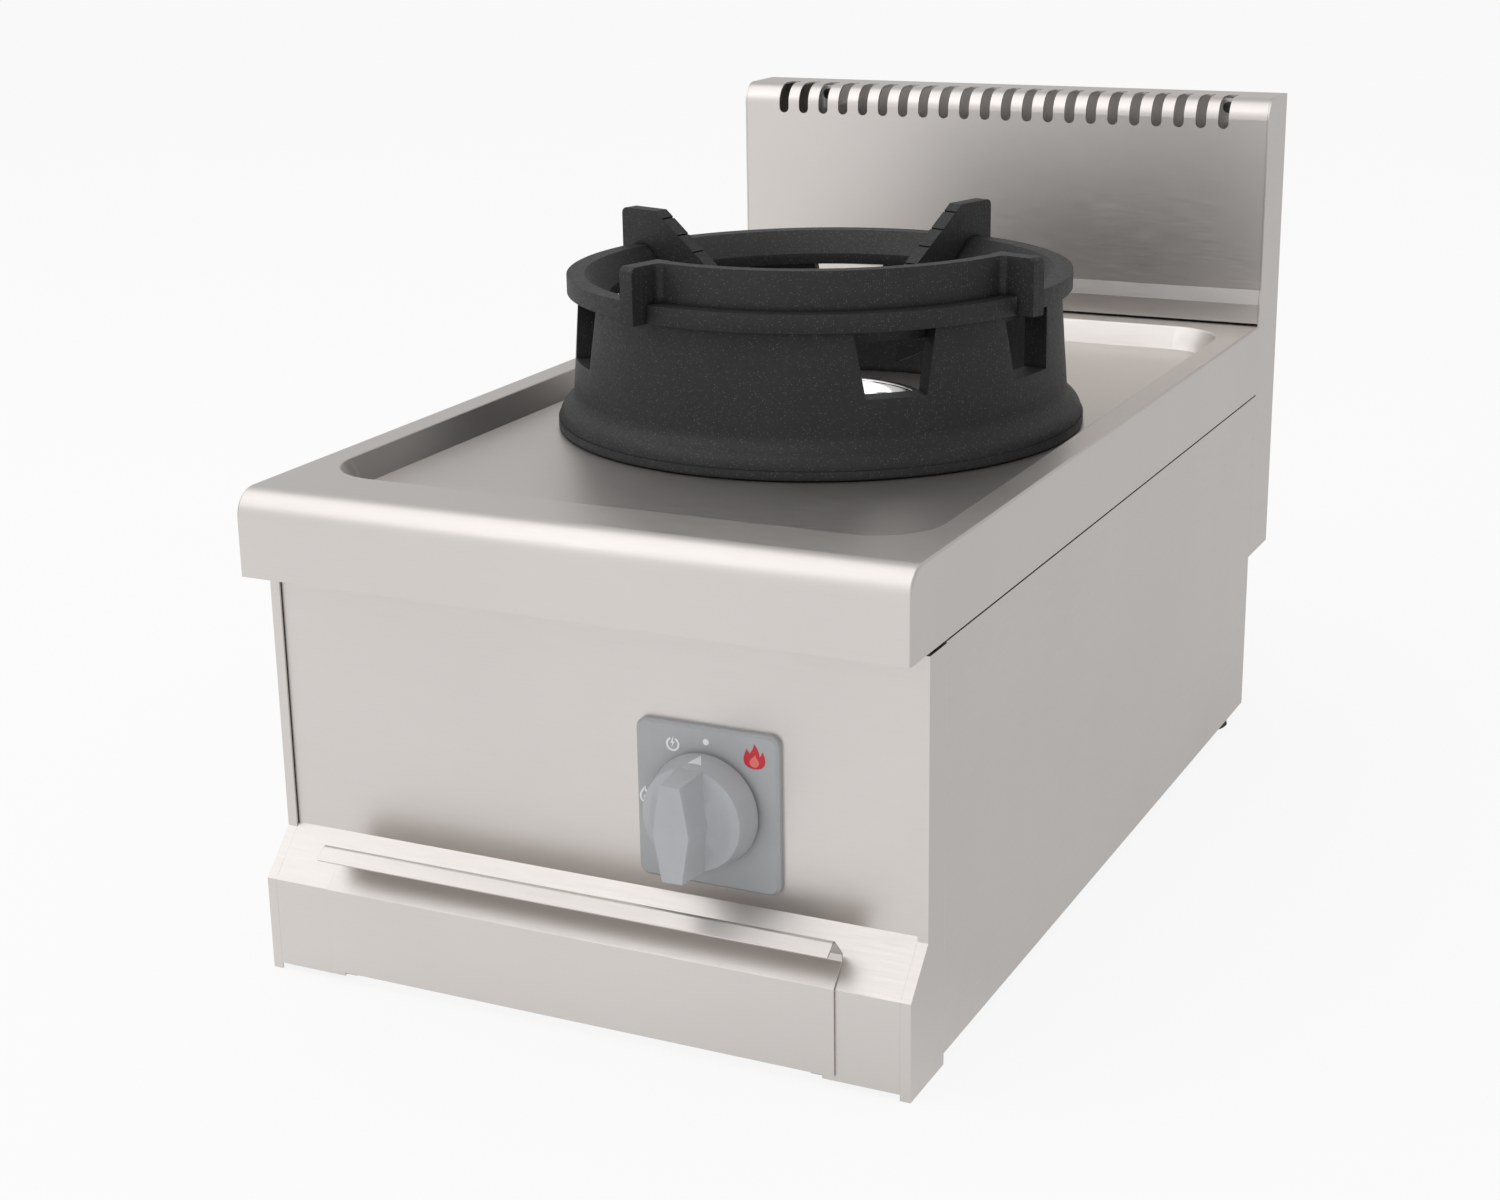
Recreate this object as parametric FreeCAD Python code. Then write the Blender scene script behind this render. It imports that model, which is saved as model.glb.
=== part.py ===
import FreeCAD, Part
import math
import os

# Countertop gas wok range, in millimetres.
# X runs to the right, Y from the front lip to the back, Z up from the resting plane.
# Drawn with Y = 0 at the worktop lip, then moved to put the origin at the bottom centre of its box.

# ---- carcass ----
WIDTH = 400.0
BODY_DEPTH = 650.0            # worktop lip to the front of the flue riser
DUCT_DEPTH = 50.0             # riser, front to back
WORKTOP_HEIGHT = 287.5        # resting plane to the top face of the worktop
TOP_SHEET = 2.0               # worktop sheet
SHEET = 1.2                   # panel sheet
SIDE_SEAM = 0.4               # upright seam between a front pillar and its side panel
PIPE_FIT = 0.05               # radial running clearance of shafts and turning sleeves
LOOSE_FIT = 0.4               # radial clearance of parts that lift off
PAST = 1.0                    # a cutting tool starts this far outside the part it cuts
EDGE_TOLERANCE = 0.01         # for picking edges by their place

# ---- worktop ----
LIP_HEIGHT = 49.0
LIP_RADIUS = 16.0
LIP_RETURN = 12.0
SIDE_EDGE_RADIUS = 1.5
INNER_EDGE_RADIUS = 0.5
REAR_TURN_DOWN = 20.0
RECESS_SIDE_MARGIN = 16.5
RECESS_FRONT_MARGIN = 51.0
RECESS_REAR_MARGIN = 20.0
RECESS_DEPTH = 15.0
RECESS_DRAFT = 8.0            # the recess floor is this much smaller all round than its mouth
RECESS_CORNER = 38.0
RECESS_EDGE_RADIUS = 1.6
COLLAR_RADIUS = 66.0          # raised collar round the burner hole
COLLAR_RISE = 9.0
COLLAR_SPREAD = 8.0           # the collar's foot is this much wider than its top
COLLAR_LIP = 2.0

# ---- front ----
PILLAR_SETBACK = 26.0         # pillar face behind the worktop lip
TOE_SETBACK = 2.5             # face of the lower box behind the lip
SLOPE_BOTTOM = 56.2
SLOPE_TOP = 80.2
PILLAR_FACE = 6.0
PILLAR_DEPTH = 46.5           # side of the pillar, back from the lower box face
PILLAR_FLANGE = 12.0
TOE_PLATE = 25.0
TOE_PLATE_SETBACK = 18.0      # front edge of the toe plate behind the lower box face
FASCIA_SETBACK = 2.0          # fascia face behind the pillar face
FASCIA_SEAM = 0.05            # seam between the fascia and a pillar
FASCIA_BOTTOM = 3.6
TOP_SEAM = 2.0                # seam between the worktop skirt and a pillar
SIDE_TOP_SEAM = 1.1           # seam between the worktop skirt and a side panel
RAIL_FLANGE = 16.0
RAIL_DEPTH = 30.0

# ---- sides and back ----
SIDE_BOTTOM = 6.3
SIDE_FLANGE = 14.0
SIDE_FLOOR_FLANGE = 24.0
SHELF_INSET = 5.0             # upstand of the side panel behind its outer face
FOOT_RADIUS = 16.0
FOOT_INSET_X = 17.0
FOOT_INSET_Y = 38.0
FOOT_STUD_RADIUS = 4.0
FOOT_STUD_LENGTH = 16.0

# ---- flue riser ----
RISER_HEIGHT = 157.0          # above the worktop
RISER_DROP = 118.0            # bottom of the duct above the resting plane
RISER_RADIUS = 14.0
RISER_STEP = 2.0              # the upper face stands behind the lower band
RISER_BAND_TOP = 15.0
RISER_STEP_TOP = 25.0
RISER_FOOT_GAP = 1.6
RISER_REAR_FLANGE = 15.0
SLOT_COUNT = 22
SLOT_PITCH = 16.0
SLOT_WIDTH = 7.5
SLOT_FRONT_DROP = 17.0        # centre of the slot's lower round end, below the riser top
SLOT_TOP_REACH = 22.5         # centre of the slot's upper round end, behind the riser face
RISER_TAB_SPAN = 305.0        # distance between the two clip screws seen through the slots
RISER_CLIP_WIDTH = 9.0
RISER_TAB_CENTRE = 15.5
RISER_SCREW_DROP = 6.0
RISER_SEAM = 0.1              # seam between the riser's shell and a cheek
CHEEK_FLANGE = 14.0
DUCT_OPENING_WIDTH = 280.0
DUCT_OPENING_HEIGHT = 70.0
DUCT_OPENING_DROP = 37.5      # top of the flue opening below the worktop

# ---- wok ring, heights above its seat on the recess floor ----
RING_CENTRE_Y = 340.0
RING_TURN = 28.0              # the loose ring is turned by this angle from facing the front
RING_BASE_RADIUS = 165.0
RING_BASE_HEIGHT = 6.2
RING_LEDGE = 1.0              # narrow ledge on top of the base rim
RING_BEAD = 1.2
RING_FLARE_TOP = 25.0
RING_WALL_LOW_RADIUS = 154.5
RING_WALL_TOP_RADIUS = 150.0
RING_BAND_RADIUS = 157.0
RING_BAND_BOTTOM = 84.5
RING_BAND_TOP = 95.5
RING_MOUTH_RADIUS = 146.0
RING_THROAT_RADIUS = 131.0
RING_THROAT_HEIGHT = 82.0
RING_SKIRT = 7.0              # short skirt below the throat, behind the tops of the windows
RING_SKIRT_WALL = 5.0
RING_FOOT_INNER_RADIUS = 141.0
FINGER_COUNT = 4
FINGER_THICKNESS = 10.0
FINGER_TOP = 118.5
FINGER_END_RADIUS = 168.5
FINGER_SHOULDER_RADIUS = 137.0
FINGER_TIP_RADIUS = 66.0
FINGER_SLOPE = 35.5
FINGER_TIP_HEIGHT = 23.0
FINGER_ROOT_HEIGHT = 79.0
FINGER_CORNER = 4.0
FINGER_NOTCH_FIRST = 6.4      # from the shoulder
FINGER_NOTCH_PITCH = 13.5
FINGER_NOTCH_COUNT = 4
FINGER_NOTCH_WIDTH = 1.4
FINGER_NOTCH_DEPTH = 0.8
GUARD_OUTER_RADIUS = 146.0    # raised wall between the two front fingers
GUARD_THICKNESS = 8.0
GUARD_FILLET = 4.0            # inner corners between the guard and its two fingers
WINDOW_COUNT = 8
WINDOW_PITCH = 38.65
WINDOW_FIRST = 41.0           # first window, from the front of the range towards its right side
WINDOW_BOTTOM = 45.0
WINDOW_TOP_HALF = 25.0
WINDOW_BOTTOM_HALF = 18.5

# ---- burner ----
BOWL_RIM = 3.0
BOWL_RIM_BEVEL = 1.5
BOWL_RIM_OVERHANG = 1.5
BOWL_WALL_INSET = 4.5
BOWL_DEPTH = 32.0
BOWL_TAPER = 4.0
BOWL_HUB_RADIUS = 52.0
BOWL_HUB_RISE = 10.0
BURNER_RADIUS = 40.0
BURNER_WALL = 6.0
BURNER_COLLAR = 2.0           # the burner's top band stands out this much
BURNER_TOP_DROP = 26.0        # top face of the burner body below the worktop
BURNER_HEIGHT = 74.0
BURNER_FOOT = 70.0
BURNER_FOOT_THICKNESS = 6.0
BURNER_BOSS_RADIUS = 20.0
BURNER_BOSS_LENGTH = 12.0
GAS_AXIS_RISE = 26.0          # mixing tube axis above the burner's underside
CAP_WALL = 3.0
CAP_PORT_SILL = 0.5
CAP_HEIGHT = 12.0
CAP_CROWN = 5.0
CAP_CENTRE_RADIUS = 14.0
CAP_SPIGOT = 6.0
CAP_PORTS = 24
CAP_PORT_WIDTH = 2.4
CAP_PORT_HEIGHT = 6.0
TUBE_LENGTH = 110.0
TUBE_BORE = 12.0
TUBE_WALL = 2.5
TUBE_THROAT = 9.0
BELL_RADIUS = 24.0
BELL_RIM = 13.0
BELL_LENGTH = 36.0
BELL_FACE = 2.0
AIR_WINDOWS = 4
AIR_WINDOW_ANGLE = 45.0
AIR_WINDOW_INNER = 11.0
AIR_WINDOW_RIM = 3.0
SHUTTER_THICKNESS = 1.5
SHUTTER_GAP = 1.0
HOLDER_RADIUS = 7.0
HOLDER_LENGTH = 26.0
HOLDER_BLOCK = 20.0
INJECTOR_RADIUS = 4.0
INJECTOR_LENGTH = 14.0
INJECTOR_BORE = 1.1
INJECTOR_TIP_RADIUS = 2.4
INJECTOR_TIP = 4.0
HOLDER_BORE = 2.2
BRACKET_MARGIN = 3.0          # bracket beyond the burner's foot, front and back
BRACKET_SHEET = 2.5
BRACKET_LIP = 16.0
BRACKET_END = 30.0
BOLT_RADIUS = 3.0
BOLT_HEAD_RADIUS = 5.0
BOLT_HEAD = 3.5
BOLT_INSET = 4.0
SOCKET_SHARE = 0.5            # screw socket, as a share of the head's radius
SOCKET_DEPTH_SHARE = 0.6

# ---- pilot ----
PILOT_RADIUS = 4.0
PILOT_ORBIT = 46.0            # distance of the pilot parts from the burner axis
PILOT_AZIMUTH = 50.0          # from the front towards the right
PILOT_SPREAD = 15.0           # angle between neighbouring pilot parts
PILOT_TOP_DROP = 14.0         # below the worktop
PILOT_LENGTH = 46.0
THERMOCOUPLE_RADIUS = 2.2
ELECTRODE_RADIUS = 3.2
ELECTRODE_WIRE = 1.0
ELECTRODE_WIRE_LENGTH = 14.0
PILOT_PLATE = 2.0
PILOT_PLATE_WIDTH = 38.0
PILOT_PLATE_MARGIN = 7.0
PILOT_PLATE_RISE = 6.0
PILOT_MOUTH = 4.0
PILOT_TUBE_RADIUS = 2.0
PILOT_RUN = 70.0              # straight stretches of the pilot tube and the two leads
PILOT_RUN_RISE = 12.0         # above the burner's underside
LEAD_RADIUS = 1.5
LEAD_RUN = 60.0
LEAD_RUN_RISE = 16.0

# ---- gas train ----
KNOB_X = 75.0
KNOB_Z = 136.5
VALVE_WIDTH = 36.0
VALVE_LENGTH = 60.0
VALVE_FLANGE = 52.0
VALVE_FLANGE_THICKNESS = 4.0
VALVE_SCREW_INSET = 4.0
VALVE_PORT = 9.0              # pilot and magnet connections, off the stem's axis
PLUG_RADIUS = 9.0
PLUG_LENGTH = 34.0
PLUG_SETBACK = 16.0           # front of the plug behind the fascia
PLUG_END = 1.2                # closed end of the plug's bore
PLUG_GAS_WAY = 2.0
STEM_RADIUS = 4.0
STEM_HOLE_CLEARANCE = 1.6
MAGNET_RADIUS = 10.0
MAGNET_LENGTH = 28.0
MAGNET_CASE_LENGTH = 17.0
MAGNET_NUT_RADIUS = 6.0
SUPPLY_RADIUS = 8.0
SUPPLY_BEND = 26.0
SUPPLY_INSET = 35.0           # supply pipe axis from the side of the carcass
BURNER_PIPE_RADIUS = 5.0
BURNER_PIPE_BEND = 16.0
PIPE_DROP = 22.0              # pipe connections behind the fascia
INLET_Z = 68.0
INLET_RADIUS = 10.48          # half-inch male pipe thread, major radius
INLET_LENGTH = 30.0
INLET_BORE = 7.0
INLET_NUT_RADIUS = 15.0
INLET_NUT = 9.0
IGNITER_WIDTH = 22.0
IGNITER_HEIGHT = 26.0
IGNITER_DEPTH = 34.0
IGNITER_NOSE = 4.5

# ---- knob and its plate ----
PLATE_WIDTH = 83.6
PLATE_HEIGHT = 90.0
PLATE_THICKNESS = 4.5
PLATE_CORNER = 6.0
PLATE_BEVEL = 1.6
KNOB_GAP = 3.5                # between the plate and the released knob
KNOB_TRAVEL = 3.0
KNOB_BASE_RADIUS = 31.6
KNOB_FACE_RADIUS = 28.4
KNOB_SKIRT = 15.5
KNOB_CROWN = 4.0
KNOB_CROWN_RADIUS = 12.0
KNOB_DEPTH = 38.5
KNOB_WALL = 2.5
KNOB_HUB_RADIUS = 9.0
KNOB_BORE_END = 2.5           # closed end of the knob's bore
SCOOP_RADIUS = 14.0           # finger scoops in the knob's face, one each side of the grip
SCOOP_OFFSET = 19.0           # from the knob's axis
SCOOP_RISE = 1.0              # lowest line of a scoop in front of the skirt's edge
GRIP_ROOT_SINK = 1.2          # the grip starts this far inside the knob's face
GRIP_LENGTH = 53.4
GRIP_WIDTH = 20.7
GRIP_END_WIDTH = 11.6
GRIP_ROOT_GROWTH = 1.5

# ---- drip tray ----
TRAY_OPENING_HALF = 150.0
TRAY_SIDE_CLEARANCE = 1.0
TRAY_FRONT_OVERLAP = 7.5
TRAY_FRONT_BOTTOM = 6.5
TRAY_FRONT_GAP = 0.3
TRAY_HEIGHT = 38.0
TRAY_LENGTH = 560.0
TRAY_SHEET = 1.0
TRAY_CORNER = 14.0
TRAY_LIFT = 0.3               # running gap between the tray and its runners
TRAY_TOP_CLEARANCE = 2.0
RUNNER_LEDGE = 7.5
RUNNER_BOTTOM = 4.5
RUNNER_HEIGHT = 48.0
RUNNER_CLEARANCE = 0.4
RUNNER_OVERLENGTH = 20.0
PULL_SLOPE_RISE = 10.8        # height of the tray front's sloped part
PULL_RISER = 4.0
PULL_BACK_DEPTH = 10.0
PULL_BACK_RISE = 11.0
PULL_LIP_DEPTH = 8.0
PULL_LIP_DROP = 5.8
PULL_BEND = 1.4               # inside radius of the pull's ridge

# ---- screws ----
SCREW_RADIUS = 2.0
SCREW_HEAD_RADIUS = 3.8
SCREW_HEAD = 2.4
PANEL_SCREW_LENGTH = 6.0
PANEL_SCREW_INSET = 38.0
FOOT_EDGE = 1.0

# ---- values worked out from the sizes above ----
HALF = WIDTH / 2
LIP_BOTTOM = WORKTOP_HEIGHT - LIP_HEIGHT
DECK_UNDERSIDE = WORKTOP_HEIGHT - TOP_SHEET
RECESS_FLOOR = WORKTOP_HEIGHT - RECESS_DEPTH
RISER_BACK = BODY_DEPTH + DUCT_DEPTH
RISER_TOP = WORKTOP_HEIGHT + RISER_HEIGHT
PILLAR_TOP = LIP_BOTTOM - TOP_SEAM
SIDE_TOP = LIP_BOTTOM - SIDE_TOP_SEAM
FASCIA_FACE = PILLAR_SETBACK + FASCIA_SETBACK
FASCIA_REAR = FASCIA_FACE + SHEET
FASCIA_HALF = HALF - PILLAR_FACE - FASCIA_SEAM
PILLAR_BACK = TOE_SETBACK + PILLAR_DEPTH
PLATE_FACE = FASCIA_FACE - PLATE_THICKNESS
KNOB_BACK = PLATE_FACE - KNOB_GAP
KNOB_FRONT = KNOB_BACK - KNOB_DEPTH
COLLAR_TOP = RECESS_FLOOR + COLLAR_RISE
BURNER_TOP = WORKTOP_HEIGHT - BURNER_TOP_DROP
BURNER_BOTTOM = BURNER_TOP - BURNER_HEIGHT
GAS_AXIS_Z = BURNER_BOTTOM + GAS_AXIS_RISE
BOSS_FACE_Y = RING_CENTRE_Y - BURNER_RADIUS - BURNER_BOSS_LENGTH
BELL_FACE_Y = BOSS_FACE_Y - TUBE_LENGTH
SHUTTER_FACE_Y = BELL_FACE_Y - SHUTTER_THICKNESS
HOLDER_FACE_Y = SHUTTER_FACE_Y - SHUTTER_GAP
PLUG_FRONT = FASCIA_REAR + PLUG_SETBACK
STEM_FRONT = KNOB_BACK - KNOB_SKIRT + KNOB_BORE_END
STEM_BACK = PLUG_FRONT + PLUG_LENGTH - PLUG_END - PAST - KNOB_TRAVEL
VALVE_BACK = FASCIA_REAR + VALVE_LENGTH
PIPE_Y = FASCIA_REAR + PIPE_DROP
SUPPLY_X = HALF - SUPPLY_INSET
TRAY_HALF = TRAY_OPENING_HALF - TRAY_SIDE_CLEARANCE
TRAY_BOTTOM = RUNNER_BOTTOM + SHEET + TRAY_LIFT
TRAY_FACE_BACK = TOE_SETBACK - TRAY_FRONT_GAP
PILOT_TOP = WORKTOP_HEIGHT - PILOT_TOP_DROP
PILOT_BASE = PILOT_TOP - PILOT_LENGTH
SLOPE_RUN = (PILLAR_SETBACK - TOE_SETBACK) / (SLOPE_TOP - SLOPE_BOTTOM)
REARMOST = max(RISER_BACK, RISER_BACK - SHEET + SCREW_HEAD)
MID_DEPTH = (KNOB_FRONT + REARMOST) / 2

X_AXIS = FreeCAD.Vector(1, 0, 0)
Y_AXIS = FreeCAD.Vector(0, 1, 0)
Z_AXIS = FreeCAD.Vector(0, 0, 1)


# ---- shape helpers ----

def through_hole(radius, x, y0, y1, z):
    """Drill along Y that passes both faces of a sheet from y0 to y1."""
    return rod(radius, (x, y0 - PAST, z), Y_AXIS, y1 - y0 + 2 * PAST)


def upright_hole(radius, x, y, z0, z1):
    """Drill along Z that passes both faces of a sheet from z0 to z1."""
    return rod(radius, (x, y, z0 - PAST), Z_AXIS, z1 - z0 + 2 * PAST)


def box(x0, x1, y0, y1, z0, z1):
    return Part.makeBox(x1 - x0, y1 - y0, z1 - z0, FreeCAD.Vector(x0, y0, z0))


def rod(radius, start, axis, length):
    return Part.makeCylinder(radius, length, FreeCAD.Vector(*start), axis)


def mirrored(shape):
    return shape.mirror(FreeCAD.Vector(0, 0, 0), X_AXIS)


def face_of(points):
    wire = Part.makePolygon(points + [points[0]])
    return Part.Face(wire)


def side_profile(points, x0, x1):
    """Solid with an outline in Y and Z, from x0 to x1."""
    outline = [FreeCAD.Vector(x0, y, z) for y, z in points]
    return face_of(outline).extrude(FreeCAD.Vector(x1 - x0, 0, 0))


def turned(points, centre, axis):
    """Body of revolution from (radius, distance along the axis) points."""
    side = X_AXIS
    origin = FreeCAD.Vector(*centre)
    outline = [origin + side * r + axis * d for r, d in points]
    return face_of(outline).revolve(origin, axis, 360)


def offset_line(points, thickness):
    """The same run of straight lines, moved sideways by thickness, with mitred corners."""
    normals = []
    for (a0, b0), (a1, b1) in zip(points, points[1:]):
        length = math.hypot(a1 - a0, b1 - b0)
        normals.append((-(b1 - b0) / length, (a1 - a0) / length))
    moved = []
    for i, (a, b) in enumerate(points):
        before = normals[max(i - 1, 0)]
        after = normals[min(i, len(normals) - 1)]
        scale = thickness / (1 + before[0] * after[0] + before[1] * after[1])
        moved.append((a + (before[0] + after[0]) * scale, b + (before[1] + after[1]) * scale))
    return moved


def bent_outline(points, thickness):
    return points + offset_line(points, thickness)[::-1]


def edges_along(shape, axis):
    """The straight edges of a block that run along an axis."""
    return [e for e in shape.Edges if abs(e.tangentAt(e.FirstParameter).dot(axis)) > 1 - EDGE_TOLERANCE]


def rounded_rectangle(half_x, y0, y1, z, corner):
    """Closed wire of a rounded rectangle centred on X = 0 at height z."""
    solid = box(-half_x, half_x, y0, y1, z, z + corner)
    solid = solid.makeFillet(corner, edges_along(solid, Z_AXIS))
    bottom = min(solid.Faces, key=lambda f: f.CenterOfMass.z)
    return bottom.OuterWire


def bent_tube(points, radius, bend):
    """Round bar along straight runs joined by tangent arcs of one bend radius."""
    nodes = [FreeCAD.Vector(*p) for p in points]
    edges = []
    start = nodes[0]
    for before, corner, after in zip(nodes, nodes[1:], nodes[2:]):
        into = (corner - before).normalize()
        out = (after - corner).normalize()
        turn = into.getAngle(out)
        reach = bend * math.tan(turn / 2)
        arc_start = corner - into * reach
        arc_end = corner + out * reach
        middle_way = (out - into).normalize()
        arc_middle = corner + middle_way * (bend / math.cos(turn / 2) - bend)
        edges.append(Part.LineSegment(start, arc_start).toShape())
        edges.append(Part.Arc(arc_start, arc_middle, arc_end).toShape())
        start = arc_end
    edges.append(Part.LineSegment(start, nodes[-1]).toShape())
    path = Part.Wire(edges)
    direction = (nodes[1] - nodes[0]).normalize()
    section = Part.Wire([Part.makeCircle(radius, nodes[0], direction)])
    return path.makePipeShell([section], True, False)


def screw(start, axis, length, radius=SCREW_RADIUS, head_radius=SCREW_HEAD_RADIUS, head=SCREW_HEAD):
    """Screw whose head's underside is at start, with its shank along the axis."""
    origin = FreeCAD.Vector(*start)
    shank = Part.makeCylinder(radius, length, origin, axis)
    cap = Part.makeCylinder(head_radius, head, origin - axis * head, axis)
    socket_depth = head * SOCKET_DEPTH_SHARE
    socket = Part.makeCylinder(head_radius * SOCKET_SHARE, socket_depth, origin - axis * head, axis)
    return cap.fuse(shank).cut(socket)


def group(shapes):
    return Part.makeCompound(shapes)


def one_solid(shape):
    return shape.removeSplitter()


# ---- worktop ----

def recess_tool(growth, top, floor):
    """Tapered recess between two heights, grown outward all round by growth."""
    half = HALF - RECESS_SIDE_MARGIN + growth
    front = RECESS_FRONT_MARGIN - growth
    rear = BODY_DEPTH - RECESS_REAR_MARGIN + growth
    corner = RECESS_CORNER + growth
    mouth = rounded_rectangle(half, front, rear, top, corner)
    draft = RECESS_DRAFT
    base = rounded_rectangle(half - draft, front + draft, rear - draft, floor, corner - draft)
    return Part.makeLoft([mouth, base], True, True)


def lip_block(inset, bottom, edge_radius):
    """Worktop block with its rounded front lip, inset all round."""
    top = WORKTOP_HEIGHT - inset
    block = box(-HALF + inset, HALF - inset, inset, BODY_DEPTH - inset, bottom, top)
    upper = [e for e in block.Edges if e.BoundBox.ZMin > top - EDGE_TOLERANCE]
    lip = [e for e in upper if e.BoundBox.YMax < inset + EDGE_TOLERANCE]
    block = block.makeFillet(LIP_RADIUS - inset, lip)
    upper = [e for e in block.Edges if e.BoundBox.ZMin > top - EDGE_TOLERANCE]
    sides = [e for e in upper if e.BoundBox.XLength < EDGE_TOLERANCE]
    return block.makeFillet(edge_radius, sides)


def collar():
    foot = COLLAR_RADIUS + COLLAR_SPREAD
    under = -TOP_SHEET
    points = [
        (foot, 0),
        (COLLAR_RADIUS, COLLAR_RISE),
        (COLLAR_RADIUS - COLLAR_LIP, COLLAR_RISE),
        (COLLAR_RADIUS - COLLAR_LIP, COLLAR_RISE - TOP_SHEET),
        (foot - TOP_SHEET, under),
        (foot, under),
    ]
    return turned(points, (0, RING_CENTRE_Y, RECESS_FLOOR), Z_AXIS)


def worktop():
    shell = lip_block(0, LIP_BOTTOM, SIDE_EDGE_RADIUS)
    hollow = lip_block(TOP_SHEET, LIP_BOTTOM - PAST, INNER_EDGE_RADIUS)
    shell = shell.cut(hollow)
    rear_cut = box(-HALF + TOP_SHEET, HALF - TOP_SHEET, BODY_DEPTH - TOP_SHEET, BODY_DEPTH,
                   LIP_BOTTOM, WORKTOP_HEIGHT - REAR_TURN_DOWN)
    shell = shell.cut(rear_cut)
    lip_return = box(-HALF + TOP_SHEET, HALF - TOP_SHEET, TOP_SHEET, TOP_SHEET + LIP_RETURN,
                     LIP_BOTTOM, LIP_BOTTOM + TOP_SHEET)
    pan = recess_tool(TOP_SHEET, DECK_UNDERSIDE, RECESS_FLOOR - TOP_SHEET)
    pocket = recess_tool(0, WORKTOP_HEIGHT, RECESS_FLOOR)
    top = shell.fuse([lip_return, pan]).cut(pocket)
    mouth = [e for e in top.Edges if on_recess_mouth(e)]
    top = top.makeFillet(RECESS_EDGE_RADIUS, mouth)
    hole_radius = COLLAR_RADIUS + COLLAR_SPREAD - TOP_SHEET / 2
    hole = upright_hole(hole_radius, 0, RING_CENTRE_Y, RECESS_FLOOR - TOP_SHEET, RECESS_FLOOR)
    return one_solid(top.cut(hole).fuse(collar()))


def on_recess_mouth(edge):
    """True for the edges round the mouth of the recess, in the worktop's top face."""
    room = edge.BoundBox
    flat = room.ZMin > WORKTOP_HEIGHT - EDGE_TOLERANCE
    inside = room.YMin > LIP_RADIUS + PAST and room.YMax < BODY_DEPTH - PAST
    return flat and inside and max(-room.XMin, room.XMax) < HALF - RECESS_SIDE_MARGIN + PAST


def top_rail(front, back, wall):
    """Angle under the deck: an upright leg at wall and a flange under the sheet."""
    flange = box(-HALF + SHELF_INSET + SHEET, HALF - SHELF_INSET - SHEET, front, back,
                 DECK_UNDERSIDE - SHEET, DECK_UNDERSIDE)
    leg = box(-HALF + SHELF_INSET + SHEET, HALF - SHELF_INSET - SHEET, wall, wall + SHEET,
              DECK_UNDERSIDE - RAIL_DEPTH, DECK_UNDERSIDE)
    return one_solid(flange.fuse(leg))


def front_rail():
    return top_rail(FASCIA_REAR, FASCIA_REAR + RAIL_FLANGE, FASCIA_REAR)


def rear_rail():
    back = BODY_DEPTH - TOP_SHEET
    return top_rail(back - RAIL_FLANGE, back, back - SHEET)


# ---- front ----

def front_line(face, top, bottom):
    """Front outline from the top down to the lower box, on the common slope."""
    slope_top = SLOPE_BOTTOM + (face - TOE_SETBACK) / SLOPE_RUN
    return [(face, top), (face, slope_top), (TOE_SETBACK, SLOPE_BOTTOM), (TOE_SETBACK, bottom)]


def fascia():
    outline = bent_outline(front_line(FASCIA_FACE, DECK_UNDERSIDE, FASCIA_BOTTOM), SHEET)
    panel = side_profile(outline, -FASCIA_HALF, FASCIA_HALF)
    tray_opening = box(-TRAY_OPENING_HALF, TRAY_OPENING_HALF, TOE_SETBACK - PAST, TOE_SETBACK + SHEET + PAST,
                       0, TRAY_BOTTOM + TRAY_HEIGHT + TRAY_TOP_CLEARANCE)
    holes = [through_hole(STEM_RADIUS + STEM_HOLE_CLEARANCE, KNOB_X, FASCIA_FACE, FASCIA_REAR, KNOB_Z)]
    holes += [through_hole(SCREW_RADIUS, x, FASCIA_FACE, FASCIA_REAR, KNOB_Z) for x in valve_screw_places()]
    return panel.cut([tray_opening] + holes)


def pillar_right():
    """Folded front pillar, whose inner flange lies behind the edge of the fascia."""
    top = PILLAR_TOP
    line = front_line(PILLAR_SETBACK, top, 0)
    face = side_profile(bent_outline(line, SHEET), HALF - PILLAR_FACE, HALF)
    side = side_profile(line + [(PILLAR_BACK, 0), (PILLAR_BACK, top)], HALF - SHEET, HALF)
    fascia_rear = offset_line(front_line(FASCIA_FACE, top, FASCIA_BOTTOM), SHEET)
    flange = side_profile(bent_outline(fascia_rear, SHEET), HALF - PILLAR_FLANGE, HALF)
    back = box(HALF - PILLAR_FLANGE, HALF, PILLAR_BACK - SHEET, PILLAR_BACK, 0, top)
    toe = box(HALF - TOE_PLATE, HALF, TOE_SETBACK + TOE_PLATE_SETBACK, PILLAR_BACK, 0, SHEET)
    return one_solid(face.fuse([side, flange, back, toe]))


# ---- sides and back ----

def side_panel_right():
    front = PILLAR_BACK + SIDE_SEAM
    wall = box(HALF - SHEET, HALF, front, BODY_DEPTH, SIDE_BOTTOM, SIDE_TOP)
    front_fold = box(HALF - SIDE_FLANGE, HALF, front, front + SHEET, SIDE_BOTTOM, SIDE_TOP)
    rear_fold = box(HALF - SIDE_FLANGE, HALF, BODY_DEPTH - SHEET, BODY_DEPTH, SIDE_BOTTOM, SIDE_TOP)
    floor_fold = box(HALF - SIDE_FLOOR_FLANGE, HALF, front, BODY_DEPTH, SIDE_BOTTOM, SIDE_BOTTOM + SHEET)
    shelf = box(HALF - SHELF_INSET - SHEET, HALF, front, BODY_DEPTH, SIDE_TOP - SHEET, SIDE_TOP)
    upstand = box(HALF - SHELF_INSET - SHEET, HALF - SHELF_INSET, front, BODY_DEPTH - TOP_SHEET,
                  SIDE_TOP - SHEET, DECK_UNDERSIDE)
    return one_solid(wall.fuse([front_fold, rear_fold, floor_fold, shelf, upstand]))


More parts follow.
